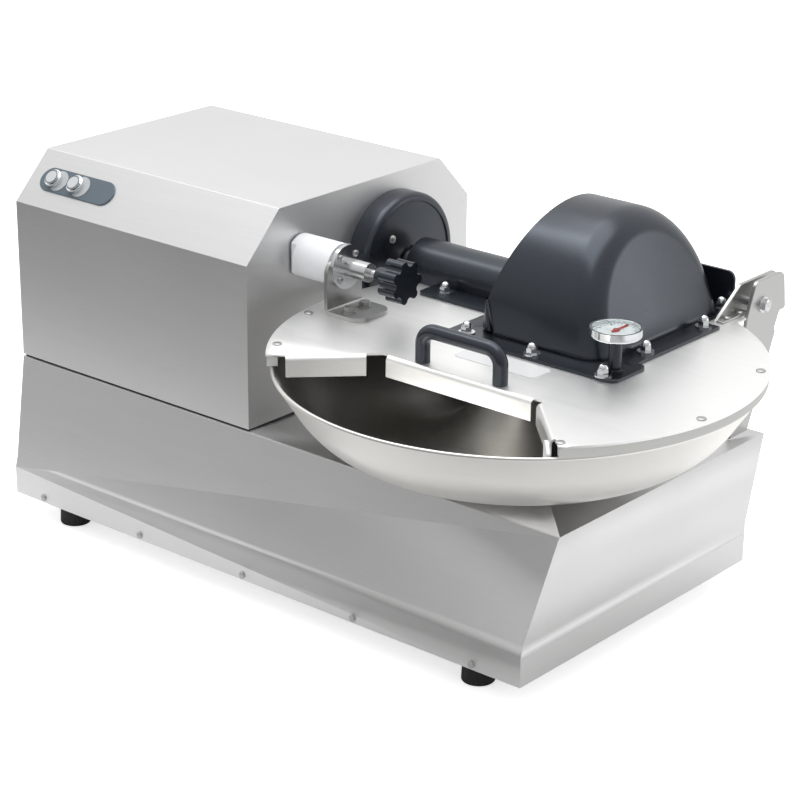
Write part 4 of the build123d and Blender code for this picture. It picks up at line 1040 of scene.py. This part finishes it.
class CUTTER_OT_dial_face(bpy.types.Operator):
    """White dial under the lens with its ring of marks"""
    bl_idname = "cutter.dial_face"
    bl_label = "Dial face"

    def execute(self, context):
        low, high = corners(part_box("thermo_case"))
        middle = (low + high) / 2
        floor = high.z - 4.9 * MM
        face_radius = 21.6 * MM
        hole = 2.0 * MM
        mark_end = 20 * MM
        white = moulded("white_printed_dial", "#F4F6F6", roughness=0.4, depth=0.0, variation=0.01)
        ink = moulded("dark_dial_ink", "#20242A", roughness=0.5, depth=0.0)

        def build_face(shape):
            outer, inner = ([shape.verts.new((middle.x + radius * math.cos(a),
                                              middle.y + radius * math.sin(a), floor)) for a in turns(64)]
                            for radius in (face_radius, hole))
            bridge(shape, outer, inner)
            made = bmesh.ops.extrude_face_region(shape, geom=shape.faces[:])
            for item in made["geom"]:
                if isinstance(item, bmesh.types.BMVert):
                    item.co.z += 0.25 * MM

        finish_piece("dial_face", build_face, "lid", "white_nylon", material=white)

        def build_marks(shape):
            for i in range(31):
                long_mark = i % 5 == 0
                inner = (14.5 if long_mark else 17) * MM
                width = (0.8 if long_mark else 0.4) * MM
                turn = Matrix.Rotation(math.radians(-60 + 10 * i), 4, "Z")
                for vertex in bmesh.ops.create_cube(shape, size=1.0)["verts"]:
                    x, y, z = vertex.co
                    local = Vector((inner + (x + 0.5) * (mark_end - inner), y * width, z * 0.1 * MM))
                    vertex.co = turn @ local + Vector((middle.x, middle.y, floor + 0.30 * MM))

        finish_piece("dial_marks", build_marks, "lid", "black_plastic", material=ink, smooth=False)
        return {"FINISHED"}


def by_ray(tree, camera, glossy, other):
    """Mix three shaders: for the camera and through clear pieces, for reflections, and for the rest."""
    path = node(tree, "ShaderNodeLightPath").outputs
    sharp = maths(tree, "MAXIMUM", path["Is Camera Ray"], path["Is Transmission Ray"])
    soft = node(tree, "ShaderNodeMixShader", {0: path["Is Glossy Ray"], 1: other.outputs[0],
                                              2: glossy.outputs[0]})
    return node(tree, "ShaderNodeMixShader", {0: sharp, 1: soft.outputs[0], 2: camera.outputs[0]}).outputs[0]


def make_floor(stage):
    half = 30
    mesh = bpy.data.meshes.new("floor")
    mesh.from_pydata([(-half, -half, 0), (half, -half, 0), (half, half, 0), (-half, half, 0)], [],
                     [(0, 1, 2, 3)])
    floor = bpy.data.objects.new("floor", mesh)
    bpy.context.scene.collection.objects.link(floor)
    material = bpy.data.materials.new("white_studio_floor")
    material.use_nodes = True
    tree = material.node_tree
    tree.nodes.clear()
    colour = linear(stage.floor_colour)
    card = node(tree, "ShaderNodeBsdfDiffuse", {"Color": colour})
    glow = node(tree, "ShaderNodeEmission", {"Color": colour, "Strength": 0.62})
    seen = node(tree, "ShaderNodeAddShader", {0: card.outputs[0], 1: glow.outputs[0]})
    place = node(tree, "ShaderNodeTexCoord").outputs["Object"]
    depth = node(tree, "ShaderNodeSeparateXYZ", {"Vector": place}).outputs["Y"]
    # Metal sees the floor too: for reflections only, the floor is painted darker in front of the machine, a
    # painted reflection
    fall = ranged(tree, depth, stage.floor_front, 1.0, start=-0.60, end=-0.25)
    paint = node(tree, "ShaderNodeVectorMath", {0: colour[:3], "Scale": fall}, operation="SCALE")
    darker = node(tree, "ShaderNodeBsdfDiffuse", {"Color": paint.outputs["Vector"]})
    # A faint painted glow near the machine, seen only in reflections
    glint = maths(tree, "MULTIPLY", fall, stage.floor_near)
    sheen = node(tree, "ShaderNodeEmission", {"Color": colour, "Strength": glint})
    mirrored = node(tree, "ShaderNodeAddShader", {0: darker.outputs[0], 1: sheen.outputs[0]})
    node(tree, "ShaderNodeOutputMaterial", {"Surface": by_ray(tree, seen, mirrored, card)})
    mesh.materials.append(material)


def make_world(stage):
    world = bpy.data.worlds.new("studio")
    world.use_nodes = True
    tree = world.node_tree
    tree.nodes.clear()
    place = node(tree, "ShaderNodeTexCoord").outputs["Generated"]
    # White all round, brightest above and behind the machine
    facing = node(tree, "ShaderNodeVectorMath", {0: place, 1: (-0.35, 0.55, 0.76)}, operation="DOT_PRODUCT")
    sky = ranged(tree, facing.outputs["Value"], stage.sky_front, stage.sky_back, start=-0.6, end=0.9)
    levels = (maths(tree, "MULTIPLY", sky, stage.world_level), sky, 1.0)
    even, shine, white = (node(tree, "ShaderNodeBackground", {"Color": (1, 1, 1, 1), "Strength": level})
                          for level in levels)
    node(tree, "ShaderNodeOutputWorld", {"Surface": by_ray(tree, white, shine, even)})
    bpy.context.scene.world = world


def make_lamp(name, place, target, width, height, power):
    light = bpy.data.lights.new(name, "AREA")
    light.shape = "RECTANGLE"
    light.size = width
    light.size_y = height
    light.energy = power
    thing = bpy.data.objects.new(name, light)
    thing.location = place
    thing.rotation_euler = (Vector(target) - Vector(place)).to_track_quat("-Z", "Y").to_euler()
    bpy.context.scene.collection.objects.link(thing)


def make_camera(stage):
    data = bpy.data.cameras.new("camera")
    data.lens = stage.lens
    data.sensor_width = 36.0
    data.clip_end = 100
    camera = bpy.data.objects.new("camera", data)
    yaw = math.radians(40.12)
    pitch = math.radians(21.08)
    roll = 0.01
    back = Vector((math.sin(yaw) * math.cos(pitch), -math.cos(yaw) * math.cos(pitch), math.sin(pitch)))
    right = (-back).cross(Vector((0, 0, 1))).normalized()
    up = back.cross(right)
    tilted = math.cos(roll) * right + math.sin(roll) * up
    upright = math.cos(roll) * up - math.sin(roll) * right
    placing = Matrix((tilted, upright, back)).transposed().to_4x4()
    placing.translation = at(1857.9, -1592.4, 885.0)
    camera.matrix_world = placing
    bpy.context.scene.collection.objects.link(camera)
    bpy.context.scene.camera = camera


class CUTTER_OT_stage(bpy.types.Operator):
    """Floor, lights, sky and camera"""
    bl_idname = "cutter.stage"
    bl_label = "Stage"

    def execute(self, context):
        stage = context.scene.cutter_stage
        context.scene.view_settings.view_transform = "Standard"
        make_floor(stage)
        make_world(stage)
        make_lamp("top_light", (0.0, 0.1, 2.1), (0, 0, 0.2), 2.0, 1.6, stage.key_power)
        make_lamp("right_light", (1.85, 1.75, 0.55), (0.2, 0.1, 0.3), 0.6, 0.6, stage.fill_power)
        make_lamp("strip_light", (-1.0, -0.08, 1.85), (0.15, 0.05, 0.3), 0.3, 1.2, stage.strip_power)
        make_camera(stage)
        return {"FINISHED"}


OPERATORS = [
    CUTTER_OT_finishes, CUTTER_OT_cabinet, CUTTER_OT_bowl, CUTTER_OT_hood, CUTTER_OT_back_guard,
    CUTTER_OT_cover, CUTTER_OT_guard, CUTTER_OT_hinges, CUTTER_OT_lid_sheet, CUTTER_OT_handle,
    CUTTER_OT_lip_screws, CUTTER_OT_lid_screws, CUTTER_OT_cap_nuts, CUTTER_OT_bracket_bolts,
    CUTTER_OT_guard_screws, CUTTER_OT_button_discs, CUTTER_OT_lid_label, CUTTER_OT_dial_face,
    CUTTER_OT_stage]


class CUTTER_PT_panel(bpy.types.Panel):
    """Buttons for each group of pieces"""
    bl_idname = "CUTTER_PT_panel"
    bl_label = "Bowl Cutter"
    bl_space_type = "VIEW_3D"
    bl_region_type = "UI"
    bl_category = "Bowl Cutter"

    def draw(self, context):
        for operator in OPERATORS:
            self.layout.operator(operator.bl_idname)


GROUPS = {"cutter_forms": CutterForms, "cutter_stage": CutterStage, "cutter_finishes": CutterFinishes,
          "cutter_fasteners": CutterFasteners}


def register():
    for group in [*GROUPS.values(), *OPERATORS, CUTTER_PT_panel]:
        bpy.utils.register_class(group)
    for name, group in GROUPS.items():
        setattr(bpy.types.Scene, name, bpy.props.PointerProperty(type=group))


def unregister():
    for name in GROUPS:
        delattr(bpy.types.Scene, name)
    for group in reversed([*GROUPS.values(), *OPERATORS, CUTTER_PT_panel]):
        bpy.utils.unregister_class(group)


def main():
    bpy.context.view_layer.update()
    register()
    bpy.ops.cutter.finishes()
    bpy.ops.cutter.cabinet()
    bpy.ops.cutter.bowl()
    bpy.ops.cutter.hood()
    bpy.ops.cutter.back_guard()
    bpy.ops.cutter.cover()
    bpy.ops.cutter.guard()
    bpy.ops.cutter.hinges()
    bpy.ops.cutter.lid_sheet()
    bpy.ops.cutter.handle()
    bpy.ops.cutter.lip_screws()
    bpy.ops.cutter.lid_screws()
    bpy.ops.cutter.cap_nuts()
    bpy.ops.cutter.bracket_bolts()
    bpy.ops.cutter.guard_screws()
    bpy.ops.cutter.button_discs()
    bpy.ops.cutter.lid_label()
    bpy.ops.cutter.dial_face()
    bpy.ops.cutter.stage()


if __name__ == "__main__":
    main()
